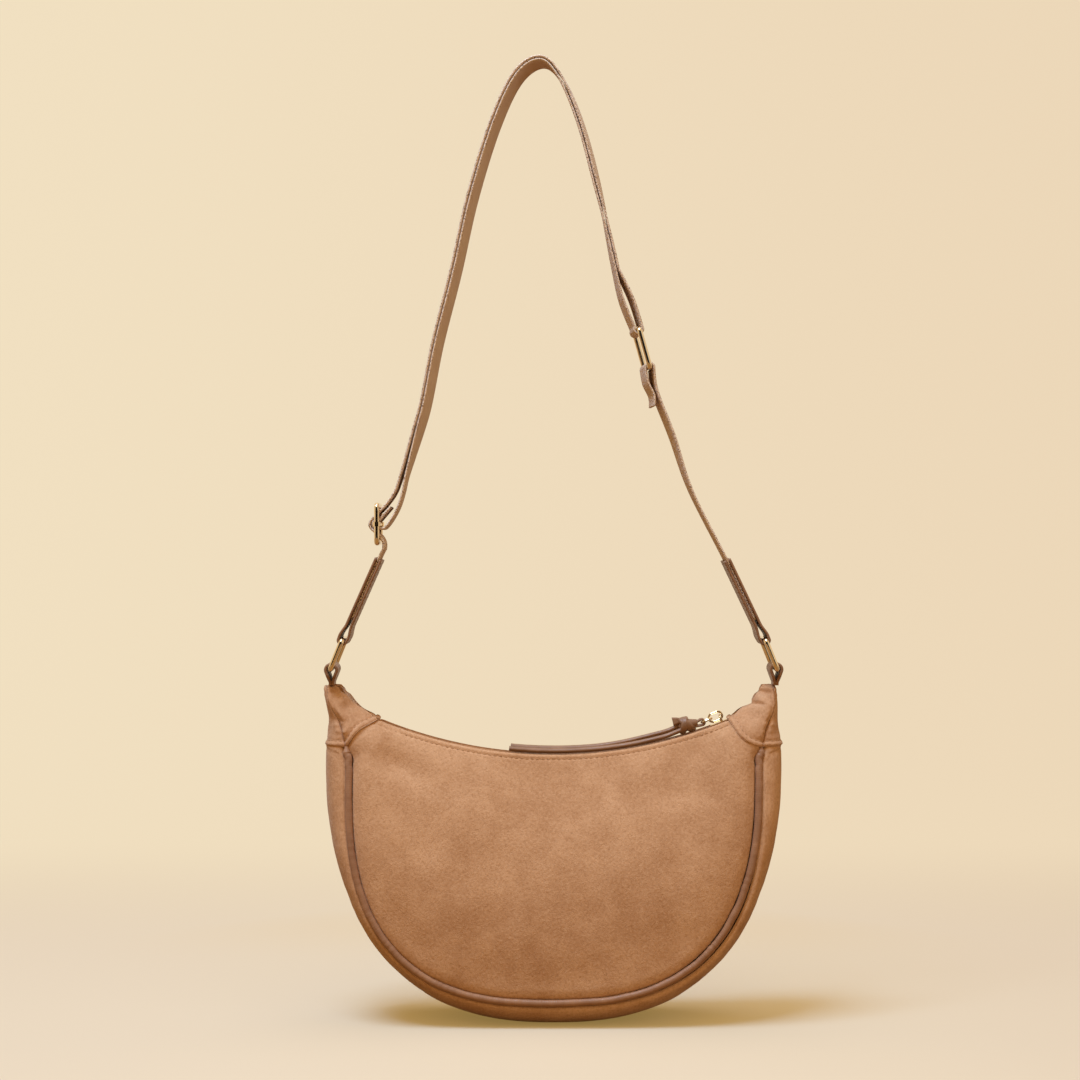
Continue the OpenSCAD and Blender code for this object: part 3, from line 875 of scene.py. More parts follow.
def band(name: str, path: Grid, across: Grid, width: Grid | float, thick: float,
         material: bpy.types.Material, edge: float = 0.35) -> bpy.types.Object:
    """Makes a flat strap along a path, with softly rounded edges.

    Args:
        name: Name of the piece.
        path: Points of its middle line, in millimetres.
        across: Direction of its width, or one for each point.
        width: Its width, or one for each point.
        thick: Its thickness.
        material: What it is made of.
        edge: Radius of its edges as a share of its thickness.

    Returns:
        The object.
    """
    n = len(path)
    along = unit(np.gradient(path, axis=0))
    wide = unit(across - along * np.sum(across * along, axis=-1, keepdims=True))
    up = np.cross(along, wide)
    w = np.broadcast_to(np.asarray(width, float), (n,))[:, None, None] / 2
    r = thick * edge
    h = thick / 2
    top = [(x, 0.0, h) for x in np.linspace(1, -1, 9)]
    end = [(-1.0, -0.6 * r, h - 0.4 * r), (-1.0, -r, h - r), (-1.0, -r, r - h), (-1.0, -0.6 * r, 0.4 * r - h)]
    half = np.array(top + end)
    sec = np.concatenate([-half, half])
    side = (w - r) * sec[None, :, 0:1] + sec[None, :, 1:2]
    ring = path[:, None] + side * wide[:, None] + sec[None, :, 2:3] * up[:, None]
    uv = np.stack([(side[..., 0] + w[..., 0]).reshape(-1), np.repeat(travel(path), len(sec))], -1)
    return add_mesh(name, ring.reshape(-1, 3), sweep_faces(n, len(sec)), material, uv)


def stitches(name: str, line: Grid, out: Grid, material: bpy.types.Material, length: float = 2.5,
             gap: float = 0.8, radius: float = 0.28) -> bpy.types.Object:
    """Sews a row of single stitches along a line.

    Args:
        name: Name of the piece.
        line: Points of the line, in millimetres.
        out: The surface's outward direction at each point.
        material: What the thread is made of.
        length: Length of a stitch.
        gap: Length between stitches.
        radius: The thread's radius.

    Returns:
        The object.
    """
    run = travel(line)
    count = max(1, int(run[-1] / (length + gap)))
    pitch = run[-1] / count

    def at(values: Grid, d: Grid) -> Grid:
        """Reads the line's values at distances along it."""
        return np.stack([np.interp(d, run, values[:, c]) for c in range(3)], -1)

    points, faces = [], []
    rings, sides = 6, 6
    rise = np.array([-0.3, 0.1, 0.26, 0.26, 0.1, -0.3]) * radius * 2
    thin = np.array([0.35, 0.85, 1.0, 1.0, 0.85, 0.35]) * radius
    for i in range(count):
        d = (i + 0.5) * pitch + np.linspace(-0.5, 0.5, rings) * length
        n = unit(at(out, d))
        mid = at(line, d) + n * rise[:, None]
        across = np.cross(unit(np.gradient(mid, axis=0)), n)
        faces += sweep_faces(rings, sides, first=len(points))
        for j in range(rings):
            for k in range(sides):
                a = FULL_TURN * k / sides
                points.append(mid[j] + thin[j] * (math.cos(a) * across[j] + math.sin(a) * n[j]))
    return add_mesh(name, np.array(points), faces, material)


# ---------------------------------------------------------------- the bag's outline


class Side(Enum):
    """The two faces of the bag."""

    FRONT = -1
    BACK = 1


class Hand(Enum):
    """The two ends of the bag."""

    LEFT = -1
    RIGHT = 1


@dataclass
class Outline:
    """The curves that the bag body is drawn from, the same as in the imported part."""

    body_w: float = 300.0
    horn_h: float = 219.2
    base_d: float = 72.0
    horn_d: float = 22.4
    seam_in: float = 18.6
    seam_rise: float = 19.0
    bulge: float = 4.5
    hem_h: float = 180.0
    mouth_l: float = 230.0
    mouth_sag: float = 23.0
    mouth_w: float = 16.0
    base_sink: float = 1.2
    side_full: float = 2.42
    seam_full: float = 2.65
    side_s: float = 0.78
    hem_s: float = 0.86
    side_top_share: float = 0.805
    seam_top_share: float = 0.753
    mouth_end_share: float = 0.9
    horn_flat: float = 7.0
    horn_spread: float = 0.33
    depth_top_share: float = 0.89
    depth_power: float = 1.7
    drop_power: float = 1.8
    swell_power: float = 0.8
    lip: float = 0.4
    close_s: float = 0.06
    seam_pull: float = 2.2

    def __post_init__(self) -> None:
        """Works out the sizes that follow from the others."""
        self.side_top = self.horn_h * self.side_top_share
        self.seam_top = self.horn_h * self.seam_top_share
        self.seam_w = self.body_w / 2 - self.seam_in
        self.fold_z = self.horn_h - self.horn_d / 2
        self.mouth_r = ((self.mouth_l / 2) ** 2 + self.mouth_sag ** 2) / (2 * self.mouth_sag)
        self.mouth_end_z = self.horn_h * self.mouth_end_share
        self.mouth_z = self.mouth_end_z - self.mouth_sag + self.mouth_r
        self.horn_edge_x = self.body_w / 2 - self.horn_flat

    def _round(self, s: Grid, w: float, top: float, base: float, full: float) -> Grid:
        """Gives the rounded lower part of a line as x and z."""
        a = np.radians(90 * np.clip(s, -0.05, self.side_s + 0.05) / self.side_s)
        return np.stack([w * power(np.sin(a), 2 / full), top - (top - base) * power(np.cos(a), 2 / full)], -1)

    def _horn(self, s: Grid) -> Grid:
        """Gives how far up the horn a place is."""
        return np.sin(np.radians(90 * (s - self.hem_s) / (1 - self.hem_s)))

    def _height(self, s: Grid, top: float) -> Grid:
        """Gives the height of a place above the rounded part."""
        low = mix(top, self.hem_h, (s - self.side_s) / (self.hem_s - self.side_s))
        return np.where(s < self.hem_s, low, mix(self.hem_h, self.horn_h, self._horn(s)))

    def seam(self, s: Grid) -> Grid:
        """Gives the panel seam.

        Args:
            s: Places from the base, 0, to the horn's tip, 1.

        Returns:
            The seam's x and z there.
        """
        z = self._height(s, self.seam_top)
        share = np.clip((z - self.seam_top) / (self.hem_h - self.seam_top), 0, 1)
        pull = self.seam_pull * np.sin(np.pi * share) ** 2
        up = np.stack([self.seam_w + self.horn_spread * (z - self.seam_top) - pull, z], -1)
        return np.where((s < self.side_s)[..., None],
                        self._round(s, self.seam_w, self.seam_top, self.seam_rise, self.seam_full), up)

    def side(self, s: Grid) -> Grid:
        """Gives the outer line of the gusset.

        Args:
            s: Places from the base, 0, to the horn's tip, 1.

        Returns:
            The line's x and z there.
        """
        z = self._height(s, self.side_top)
        up = np.stack([np.full_like(z, self.body_w / 2), z], -1)
        return np.where((s < self.side_s)[..., None],
                        self._round(s, self.body_w / 2, self.side_top, -self.base_sink, self.side_full), up)

    def mouth(self, s: Grid) -> Grid:
        """Gives the mouth line.

        Args:
            s: Places from the bag's middle, 0, to the horn's tip, 1.

        Returns:
            The line's x and z there.
        """
        x0 = self.mouth_l / 2 * s / self.hem_s
        z0 = self.mouth_z - np.sqrt(self.mouth_r ** 2 - np.minimum(x0, self.mouth_l) ** 2)
        t = (s - self.hem_s) / (1 - self.hem_s)
        rise = self.horn_h - self.mouth_end_z
        slope = math.tan(math.asin(self.mouth_l / 2 / self.mouth_r))
        first = (self.horn_edge_x - self.mouth_l / 2) * slope
        x1 = mix(self.mouth_l / 2, self.horn_edge_x, t)
        z1 = self.mouth_end_z + np.minimum(rise, first * t + (rise - first) * t ** 2)
        low = s < self.hem_s
        return np.stack([np.where(low, x0, x1), np.where(low, z0, z1)], -1)

    def round_top(self, z: Grid) -> Grid:
        """Gives the half depth that a horn's round top leaves at a height."""
        return np.where(z < self.fold_z, self.base_d,
                        np.sqrt(np.maximum(0.0, (self.horn_d / 2) ** 2 - (z - self.fold_z) ** 2)))

    def depth(self, z: Grid) -> Grid:
        """Gives the half depth of the seam at a height.

        Args:
            z: The heights.

        Returns:
            The half depths.
        """
        t = np.clip((z - self.seam_rise) / (self.horn_h * self.depth_top_share - self.seam_rise), 0.0, 1.0)
        plain = self.base_d / 2 - (self.base_d - self.horn_d) / 2 * t ** self.depth_power
        return np.minimum(plain, self.round_top(z))

    def mouth_half(self, s: Grid) -> Grid:
        """Gives the half width of the mouth."""
        return np.where(s < self.hem_s, self.mouth_w / 2,
                        np.maximum(self.lip, self.mouth_w / 2 * (1 - (s - self.hem_s) / self.close_s)))

    def panel(self, side: Side) -> Surface:
        """Gives the surface of a panel and of its caps.

        Args:
            side: Which face of the bag.

        Returns:
            A function from u, horn to horn, and v, seam to mouth, to points.
        """
        def f(u: Grid, v: Grid) -> Grid:
            """Gives the points.

            Args:
                u: The places from horn to horn.
                v: The places across.

            Returns:
                The points.
            """
            s = np.abs(u)
            a, b = self.seam(s), self.mouth(s)
            z = mix(a[..., 1], b[..., 1], v)
            drop = mix(self.depth(a[..., 1]), self.mouth_half(s), power(v, self.drop_power))
            swell = self.bulge * np.sin(np.pi * power(v, self.swell_power))
            y = drop + swell * np.minimum(1, (1 - s) / (1 - self.side_s))
            y = np.where(s < self.side_s, y, np.minimum(y, self.round_top(z) + self.lip))
            x = np.sign(u) * mix(a[..., 0], b[..., 0], v)
            return np.stack([x, side.value * np.maximum(self.lip, y), z], -1)
        return f

    def gusset(self, start: float) -> Surface:
        """Gives the surface of the gusset and of the side caps.

        Args:
            start: How far out from the seam it begins.

        Returns:
            A function from u, horn to horn, and v, front to back, to points.
        """
        def f(u: Grid, v: Grid) -> Grid:
            """Gives the points.

            Args:
                u: The places from horn to horn.
                v: The places across.

            Returns:
                The points.
            """
            s = np.abs(u)
            a, c = self.seam(s), self.side(s)
            far = np.linalg.norm(c - a, axis=-1)
            way = unit(c - a)
            out = mix(np.minimum(start, far / 2), far, power(np.cos(np.pi / 2 * v), self.swell_power))
            p = a + out[..., None] * way
            return np.stack([np.sign(u) * p[..., 0], self.depth(a[..., 1]) * np.sin(np.pi / 2 * v),
                             np.maximum(0.0, p[..., 1])], -1)
        return f


@dataclass
class Finishes:
    """Every material of the bag, made once."""

    made: dict[str, bpy.types.Material] = field(default_factory=dict)

    def get(self, recipe: object) -> bpy.types.Material:
        """Makes a recipe's material, or gives the one made before.

        Args:
            recipe: A finish with a name and a make method.

        Returns:
            The material.
        """
        if recipe.name not in self.made:
            self.made[recipe.name] = recipe.make()
        return self.made[recipe.name]


PANEL_SUEDE = Suede("panel_suede")
CAP_SUEDE = Suede("cap_suede", lit=(214, 171, 137), deep=(190, 144, 110), grain=660.0)
PIPING_LEATHER = SmoothLeather("piping_leather", base=(174, 130, 100), deep=(146, 104, 78), crimps=4200.0)
STRAP_LEATHER = SmoothLeather("strap_leather", base=(164, 124, 96), deep=(136, 98, 72), gloss=0.5)
THONG_LEATHER = SmoothLeather("thong_leather", base=(160, 120, 92), deep=(130, 92, 66), gloss=0.42)
WEB = Webbing("webbing_weave")
TAPE = Twill("zip_tape_twill")
LINING = Twill("lining_cloth", base=(196, 170, 136), deep=(164, 136, 102), pitch=0.0006)
GOLD = GoldMetal("pale_gold")
SEWING = Thread("sewing_thread")
STRAP_SEWING = Thread("strap_thread", base=(148, 110, 84))


class SlotName(Enum):
    """Names of the record's material slots."""

    SUEDE = "suede"
    LEATHER = "smooth_leather"
    CLOTH = "cloth"
    WEBBING = "webbing"
    GOLD = "gold_metal"


def settle(made: bpy.types.Object, body: str, slot: SlotName, *nodes: str) -> bpy.types.Object:
    """Lets a piece ride on a body and stand for nodes.

    Args:
        made: The piece.
        body: The body that carries it.
        slot: The record's material slot.
        nodes: Nodes that it stands for.

    Returns:
        The piece.
    """
    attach(made, body)
    return name_piece(made, slot, *nodes)


def name_piece(made: bpy.types.Object, slot: SlotName, *nodes: str) -> bpy.types.Object:
    """Hides the nodes that a piece stands for, and reports the piece.

    Args:
        made: The piece.
        slot: The record's material slot; not used.
        nodes: Nodes that it stands for.

    Returns:
        The piece.
    """
    if nodes:
        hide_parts(*nodes)
    LOG.info("made %s, %d faces", made.name, len(made.data.polygons))
    return made


def gild(frame: dict, gold: bpy.types.Material, *nodes: str) -> None:
    """Gives metal solids of the part their finish.

    Args:
        gold: The finish.
        nodes: Names of the solids' nodes.
    """
    for node in nodes:
        for slot in frame["nodes"][node].material_slots:
            slot.material = gold


# ---------------------------------------------------------------- the shell


@dataclass
class Shell:
    """The suede shell: panels, gusset, horn caps, piping, lining and their stitching."""

    shape: Outline
    finishes: Finishes
    suede_t: float = 1.4
    cap_out: float = 1.0
    cap_t: float = 1.8
    drift: float = 2.6
    hem_turn: float = 3.9
    under_piping: float = 0.7
    piping_in: float = 2.55
    piping_r: float = 2.4
    piping_top_x: float = 135.3
    seam_dip: float = 1.5
    tab_room: float = -0.3
    topstitch_in: float = 3.2
    lining_in: float = 2.1
    lining_t: float = 0.45
    split_s: float = 0.006

    def _dress_panel(self, p: Grid, v: Grid, u: Grid, side: Side) -> Grid:
        """Adds a soft panel's tucks, dents and undulations.

        Args:
            p: The plain surface's points.
            v: Seam to mouth, 0 to 1.
            u: Horn to horn.
            side: Which face of the bag.

        Returns:
            How far each point moves outward.
        """
        x, z = p[..., 0], p[..., 2]
        seed = 7 if side is Side.FRONT else 19
        inside = smooth_step(v, 0.0, 0.12) * (1 - smooth_step(v, 0.86, 1.0))
        inside = inside * (1 - smooth_step(np.abs(u), 0.74, 0.85) * 0.6)
        soft = 0.55 * cloud(x, z, seed, 16, 95.0) + 0.14 * cloud(x, z, seed + 1, 20, 30.0)
        if side is Side.FRONT:
            dent = -2.6 * bell(x, -101, 24) * bell(z + 0.35 * (x + 101), 168, 9)
            dent = dent - 0.9 * bell(x, 78, 30) * bell(z, 150, 12)
        else:
            dent = -1.6 * bell(x, 60, 34) * bell(z, 150, 14)
        s = np.linspace(0, 1, 300)
        flat = np.stack([np.abs(x), z], -1)
        seam_mm = distance_to(flat, self.shape.seam(s)) * np.where(v < 0, -1, 1) + self.under_piping
        mouth_mm = distance_to(flat, self.shape.mouth(s))
        tuck = 0.45 * bell(seam_mm, 6, 4) - 1.25 * bell(np.maximum(seam_mm, 0), 0, 0.9, 1.5)
        at_hem = np.full(1, self.shape.hem_s)
        hem_line = mix(self.shape.seam(at_hem), self.shape.mouth(at_hem), np.linspace(0, 1, 60)[:, None])
        tuck = tuck - 0.9 * bell(distance_to(flat, hem_line), 0, 1.3)
        pucker = 0.10 * np.sin(x * FULL_TURN / 3.3) * bell(mouth_mm, self.topstitch_in, 1.4)
        groove = 0.16 * bell(mouth_mm, 1.4, 1.2) - 0.36 * bell(mouth_mm, self.topstitch_in, 0.55)
        rolled = -0.6 * bell(mouth_mm, 0, 0.7)
        return soft * inside + dent + tuck + groove + pucker + rolled

    def panel(self, side: Side) -> None:
        """Builds one panel, its topstitching and its lining.

        Args:
            side: Which face of the bag.
        """
        word = side.name.lower()
        plain = self.shape.panel(side)
        edge = self.shape.hem_s + 0.010
        us = np.linspace(-edge, edge, 240)
        vs = stretches((0.0, 0.05, 0.95, 1.0), (8, 53, 15))
        u, v = np.meshgrid(us, vs, indexing="ij")
        p, out = plain(u, v), way_out(plain, u, v, -side.value)
        s = np.abs(us)
        away = unit(self.shape.side(s) - self.shape.seam(s))
        away = np.stack([np.sign(us) * away[:, 0], 0 * s, away[:, 1]], -1)
        more = np.array([self.under_piping, self.under_piping / 2])
        p = np.concatenate([p[:, :1] + more[None, :, None] * away[:, None], p], axis=1)
        out = np.concatenate([out[:, :1], out[:, :1], out], axis=1)
        u = np.repeat(us[:, None], p.shape[1], 1)
        v = np.tile(np.concatenate([-more / 100, vs]), (len(us), 1))
        move = self._dress_panel(p, v, u, side)
        shift = np.zeros_like(p)
        if side is Side.FRONT:
            shift[..., 0] = -self.drift * smooth_step(170 - p[..., 2], 0, 150)
        outer = p + out * move[..., None] + shift
        down = np.linalg.norm(p - p[:, -1:], axis=-1)
        thin = self.suede_t - bell(down, 0, 0.9) + 1.4 * bell(down, 2.8, 1.5)
        inner = p + out * (np.minimum(move, 0.4) - thin)[..., None] + shift
        made = shell(f"{word}_panel_suede", outer, inner, self.finishes.get(PANEL_SUEDE), side is Side.BACK)
        settle(made, word, SlotName.SUEDE, f"{word}_panel")
        lu = us[s < self.shape.hem_s - 0.012]
        high = np.linalg.norm(self.shape.mouth(np.abs(lu)) - self.shape.seam(np.abs(lu)), axis=-1)
        lv = 1 - self.topstitch_in / high
        lp, lo = plain(lu, lv), way_out(plain, lu, lv, -side.value)
        sewn = stitches(f"{word}_mouth_stitches", lp - lo * 0.3, lo, self.finishes.get(SEWING), 2.6, 0.9,
                        0.25)
        settle(sewn, word, SlotName.SUEDE)
        us, vs = np.linspace(-edge + 0.02, edge - 0.02, 90), np.linspace(0.0, 0.965, 26)
        u, v = np.meshgrid(us, vs, indexing="ij")
        p, out = plain(u, v), way_out(plain, u, v, -side.value)
        wave = 0.25 * np.abs(cloud(p[..., 0], p[..., 2], 41, 12, 40.0))[..., None]
        wave = wave - np.minimum(self._dress_panel(p, v, u, side), 0)[..., None]
        wave = wave + self.lining_in
        lining = shell(f"{word}_lining_cloth", p - out * wave, p - out * (wave + self.lining_t),
                       self.finishes.get(LINING), side is Side.BACK)
        settle(lining, word, SlotName.CLOTH, f"{word}_lining")

    def horn_shape(self, hand: Hand, side: Side, points: Grid) -> Grid:
        """Presses and folds a horn's cap to its worn shape.

        Args:
            hand: Which horn.
            side: Which face.
            points: The cap's points.

        Returns:
            The moved points.
        """
        x, y, z = np.abs(points[..., 0]), points[..., 1], points[..., 2]
        t = np.linspace(self.shape.hem_s, 1.0, 120)
        ridge = self.shape.mouth(t)
        left = np.interp(z, ridge[:, 1], ridge[:, 0])
        share = np.clip((x - left) / (self.shape.body_w / 2 - left + 1e-6), 0.0, 1.0)
        if hand is Hand.LEFT:
            outer_in = np.interp(z, [178, 182, 190, 195, 199, 204, 210, 216],
                                 [0, 1.3, 2.2, 2.8, 2.8, 1.8, 0.4, 0])
            ridge_out = np.interp(z, [192, 198, 203, 207, 211, 216, 219], [0, 0.9, 1.1, 1.5, 1.6, 1.2, 0.6])
            if side is Side.BACK:
                ridge_out = np.interp(z, [204, 209, 213, 217, 219], [0, -0.5, -1.7, -2.6, -2.4])
            seam_out = 3.4 * bell(z, 205, 9)
        else:
            outer_in = np.interp(z, [178, 182, 190, 198, 206, 212, 219], [0, 0.9, 2.4, 3.1, 3.9, 4.4, 5.0])
            ridge_out = np.interp(z, [199, 203, 204.8, 207.2, 209.7, 215.6, 219.5],
                                  [0, -1.6, -1.6, 1.6, -1.1, -4.0, -5.4])
            seam_out = 4.4 * bell(z, 203, 10)
        moved = x - outer_in * share + ridge_out * (1 - share) ** 1.5 + seam_out * np.sin(np.pi * share)
        return np.stack([np.sign(points[..., 0]) * moved, y, z], -1)

    @staticmethod
    def fold_zone(z: Grid) -> Grid:
        """Gives how far a height lies in the zone that a folded tab covers."""
        return smooth_step(z, 193.0, 198.0) * (1 - smooth_step(z, 214.5, 217.0))

    def _hem(self, mm: Grid) -> Grid:
        """Gives the relief of a turned and stitched hem by the distance from its edge."""
        return 0.75 * bell(mm, 1.75, 1.6, 3.4) - 0.5 * bell(mm, self.hem_turn, 0.65) - 0.7 * bell(mm, 0, 0.4)

    @staticmethod
    def from_hem(points: Grid, hand: Hand) -> Grid:
        """Gives how far a cap's points are from its hem."""
        run = travel(points)
        return run if hand is Hand.RIGHT else run[-1:] - run

    def _cap_pieces(self, word: str, hand: Hand, side: Side, points: Grid, out: Grid, move: Grid,
                    under_tab: Grid, turn: bool, sewn: slice) -> tuple[bpy.types.Object, bpy.types.Object]:
        """Makes a piece of a cap and the stitches of its hem.

        Args:
            word: Start of their names.
            hand: Which horn.
            side: Which face.
            points: The plain surface's points.
            out: Its outward directions.
            move: How far each point moves outward.
            under_tab: How far each point lies under the folded tab, 0 to 1.
            turn: Whether the faces are turned over.
            sewn: The part of the hem that is stitched.

        Returns:
            The piece and its stitches.
        """
        move = mix(move, np.minimum(move, self.tab_room - self.cap_out), under_tab)
        low = self.cap_out - self.cap_t + np.minimum(move, 0.0) * 0.3
        outer = self.horn_shape(hand, side, points + out * (self.cap_out + move)[..., None])
        inner = self.horn_shape(hand, side, points + out * low[..., None])
        made = shell(f"{word}_suede", outer, inner, self.finishes.get(CAP_SUEDE), turn)
        way = slice(None, None, hand.value)
        line = np.array([[np.interp(self.hem_turn, mm[way], c[way]) for c in outer[:, j].T]
                         for j, mm in enumerate(self.from_hem(points, hand).T)])
        hem_out = out[0 if hand is Hand.RIGHT else -1]
        thread = self.finishes.get(SEWING)
        return made, stitches(f"{word}_stitches", line[sewn], hem_out[sewn], thread, 2.4, 0.9, 0.26)

    def cap(self, hand: Hand, side: Side) -> None:
        """Builds the cap over one face of a horn, with its stitched hem.

        Args:
            hand: Which horn.
            side: Which face.
        """
        word = f"{hand.name.lower()}_cap_{side.name.lower()}"
        plain = self.shape.panel(side)
        ss = stretches((self.shape.hem_s - 0.003, 0.90, 1.0), (25, 43))
        vs = stretches((0.0, 0.12, 0.9, 1.0), (15, 29, 9))
        u, v = np.meshgrid(rising(ss, hand.value), vs, indexing="ij")
        sag = 0.0 if side is Side.BACK else (0.021 if hand is Hand.RIGHT else -0.011)
        u = u - hand.value * sag * np.sin(np.pi * v) * bell(np.abs(u), self.shape.hem_s, 0.03)
        p, out = plain(u, v), way_out(plain, u, v, -side.value)
        mm = self.from_hem(p, hand)
        far = np.linalg.norm(p[:, :1] - p, axis=-1)
        ridge = np.linalg.norm(p[:, -1:] - p, axis=-1)
        x, z = p[..., 0], p[..., 2]
        fade = smooth_step(mm, 4, 9) * (1 - smooth_step(np.abs(u), 0.95, 1.0))
        under_tab = smooth_step(np.abs(x), 137.0, 142.0) * self.fold_zone(z)
        move = self._hem(mm) - self.seam_dip * bell(far, 0, 0.8, 1.5)
        folds = 0.45 * cloud(x, z, 3 + side.value + 2 * hand.value, 12, 16.0) + 0.75 * bell(far, 3.4, 2)
        folds = folds + 0.3 * np.sin(z * FULL_TURN / 4.6 + 1.2 * np.sin(z * 0.9)) * bell(far, 1.6, 2)
        move = move + fade * (folds + 0.7 * bell(ridge, 2.4, 1.9) + 0.9 * np.sin(np.pi * v))
        turn = side is Side.BACK
        made, sewn = self._cap_pieces(word, hand, side, p, out, move, under_tab, turn, slice(3, -1))
        for piece in (made, sewn):
            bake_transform(piece)
        name_piece(made, SlotName.SUEDE, word)
        name_piece(sewn, SlotName.SUEDE)

    def side_cap(self, hand: Hand) -> None:
        """Builds the cap over the end of the gusset, in a front and a back half.

        Args:
            hand: Which horn.
        """
        plain = self.shape.gusset(0.0)
        ss = stretches((self.shape.hem_s - 0.002, 0.90, 1.0), (21, 33))
        half = np.insert(stretches((0.0, 0.9, 1.0), (21, 9)), 1, self.split_s)
        for side in Side:
            y = side.value
            u, v = np.meshgrid(rising(ss, hand.value), rising(half, y), indexing="ij")
            p, out = plain(u, v), way_out(plain, u, v, -1.0)
            mm = self.from_hem(p, hand)
            rim = p[:, -1:] if side is Side.BACK else p[:, :1]
            far = np.linalg.norm(rim - p, axis=-1)
            fade = smooth_step(mm, 4, 9) * (1 - smooth_step(np.abs(u), 0.95, 1.0))
            folds = 0.3 * cloud(p[..., 1], p[..., 2], 23 + hand.value, 10, 18.0)
            folds = folds + 0.45 * bell(far, 3.2, 1.9) * (1 + 0.5 * np.sin(p[..., 2] * FULL_TURN / 4.6))
            move = self._hem(mm) - self.seam_dip * bell(far, 0, 0.8, 1.5) + fade * folds
            under_tab = smooth_step(np.abs(p[..., 1]), 6.0, 9.0) * self.fold_zone(p[..., 2])
            word = f"{hand.name.lower()}_cap_side_{side.name.lower()}"
            seam = slice(0, -3) if side is Side.BACK else slice(3, None)
            made, sewn = self._cap_pieces(word, hand, side, p, out, move, under_tab, True, seam)
            for piece in (made, sewn):
                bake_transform(piece)
            name_piece(made, SlotName.SUEDE,
                       *([f"{hand.name.lower()}_cap_side"] if side is Side.FRONT else []))
            name_piece(sewn, SlotName.SUEDE)

    def gusset(self) -> None:
        """Builds the gusset in a front and a back half, and its lining."""
        plain = self.shape.gusset(self.piping_in + self.piping_r - 0.45)
        edge = self.shape.hem_s + 0.006
        us = np.linspace(-edge, edge, 260)
        half = np.insert(stretches((0.0, 1.0), (25,)), 1, self.split_s)
        for side in Side:
            y = side.value
            u, v = np.meshgrid(us, rising(half, y), indexing="ij")
            p, out = plain(u, v), way_out(plain, u, v, -1.0)
            rim = p[:, -1:] if side is Side.BACK else p[:, :1]
            far = np.linalg.norm(rim - p, axis=-1)
            raised = smooth_step(p[..., 2], 3.0, 24.0)
            length = np.abs(u) * 700
            move = raised * (0.22 * cloud(length, p[..., 1], 57, 14, 110.0) * smooth_step(far, 2, 12)
                             + 0.07 * cloud(length, p[..., 1] * 0.3, 58, 14, 26.0))
            move = move - self.seam_dip * bell(far, 0, 0.9, 1.5) + 0.35 * bell(far, 3.4, 2) * raised
            beyond = np.maximum(0.0, np.abs(rim[..., 0]) - self.piping_top_x - 0.8 * self.piping_r)
            beyond = beyond * smooth_step(rim[..., 2], 168.0, 176.0) * bell(far, 0, 7)
            p = p - np.stack([np.sign(p[..., 0]) * beyond, 0 * beyond, 0 * beyond], -1)
            outer = p + out * move[..., None]
            inner = p + out * (np.minimum(move, 0.2) - self.suede_t)[..., None]
            outer[..., 2] = np.maximum(outer[..., 2], 0.0)
            inner[..., 2] = np.maximum(inner[..., 2], 0.6)
            word = f"gusset_{side.name.lower()}_half"
            made = shell(f"{word}_suede", outer, inner, self.finishes.get(PANEL_SUEDE), True)
            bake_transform(made)
            name_piece(made, SlotName.SUEDE, *(["gusset"] if side is Side.FRONT else []))
        us, vs = np.linspace(-edge + 0.02, edge - 0.02, 100), np.linspace(-0.8, 0.8, 22)
        u, v = np.meshgrid(us, vs, indexing="ij")
        p, out = plain(u, v), way_out(plain, u, v, -1.0)
        outer = p - out * self.lining_in
        made = shell("gusset_lining_cloth", outer, outer - out * self.lining_t,
                     self.finishes.get(LINING), True)
        settle(made, "bag", SlotName.CLOTH, "gusset_lining")

    def piping(self, side: Side) -> None:
        """Builds the piping round one panel.

        Args:
            side: Which face of the bag.
        """
        span = self.shape.hem_s + 0.004
        u = np.linspace(-span, span, 620)
        s = np.abs(u)
        a = self.shape.seam(s)
        p = a + self.piping_in * unit(self.shape.side(s) - a)
        over = smooth_step(p[..., 1], 166.0, 176.0)
        x = np.sign(u) * mix(p[..., 0], np.minimum(p[..., 0], self.piping_top_x), over)
        if side is Side.FRONT:
            x = x - self.drift * 0.8 * smooth_step(170 - p[..., 1], 0, 150)
        path = np.stack([x, side.value * self.shape.depth(a[..., 1]), p[..., 1]], -1)
        length, none = u * 600, 0 * u
        sway, dip = cloud(length, none, 71, 8, 40.0), cloud(length, none, 72, 8, 40.0)
        path = path + 0.12 * np.stack([sway, none, dip], -1)
        ends = 1 - 0.45 * smooth_step(s, span - 0.03, span)
        radius = self.piping_r * ends * (1 + 0.03 * cloud(length, none, 73, 10, 14.0))
        word = side.name.lower()
        made = tube(f"{word}_piping_leather", path, radius, self.finishes.get(PIPING_LEATHER), sides=18)
        settle(made, word, SlotName.LEATHER, f"{word}_piping")

    def build(self) -> None:
        """Builds the whole shell."""
        for side in Side:
            self.panel(side)
            self.piping(side)
            for hand in Hand:
                self.cap(hand, side)
        for hand in Hand:
            self.side_cap(hand)
        self.gusset()


# ---------------------------------------------------------------- the zip and its pull


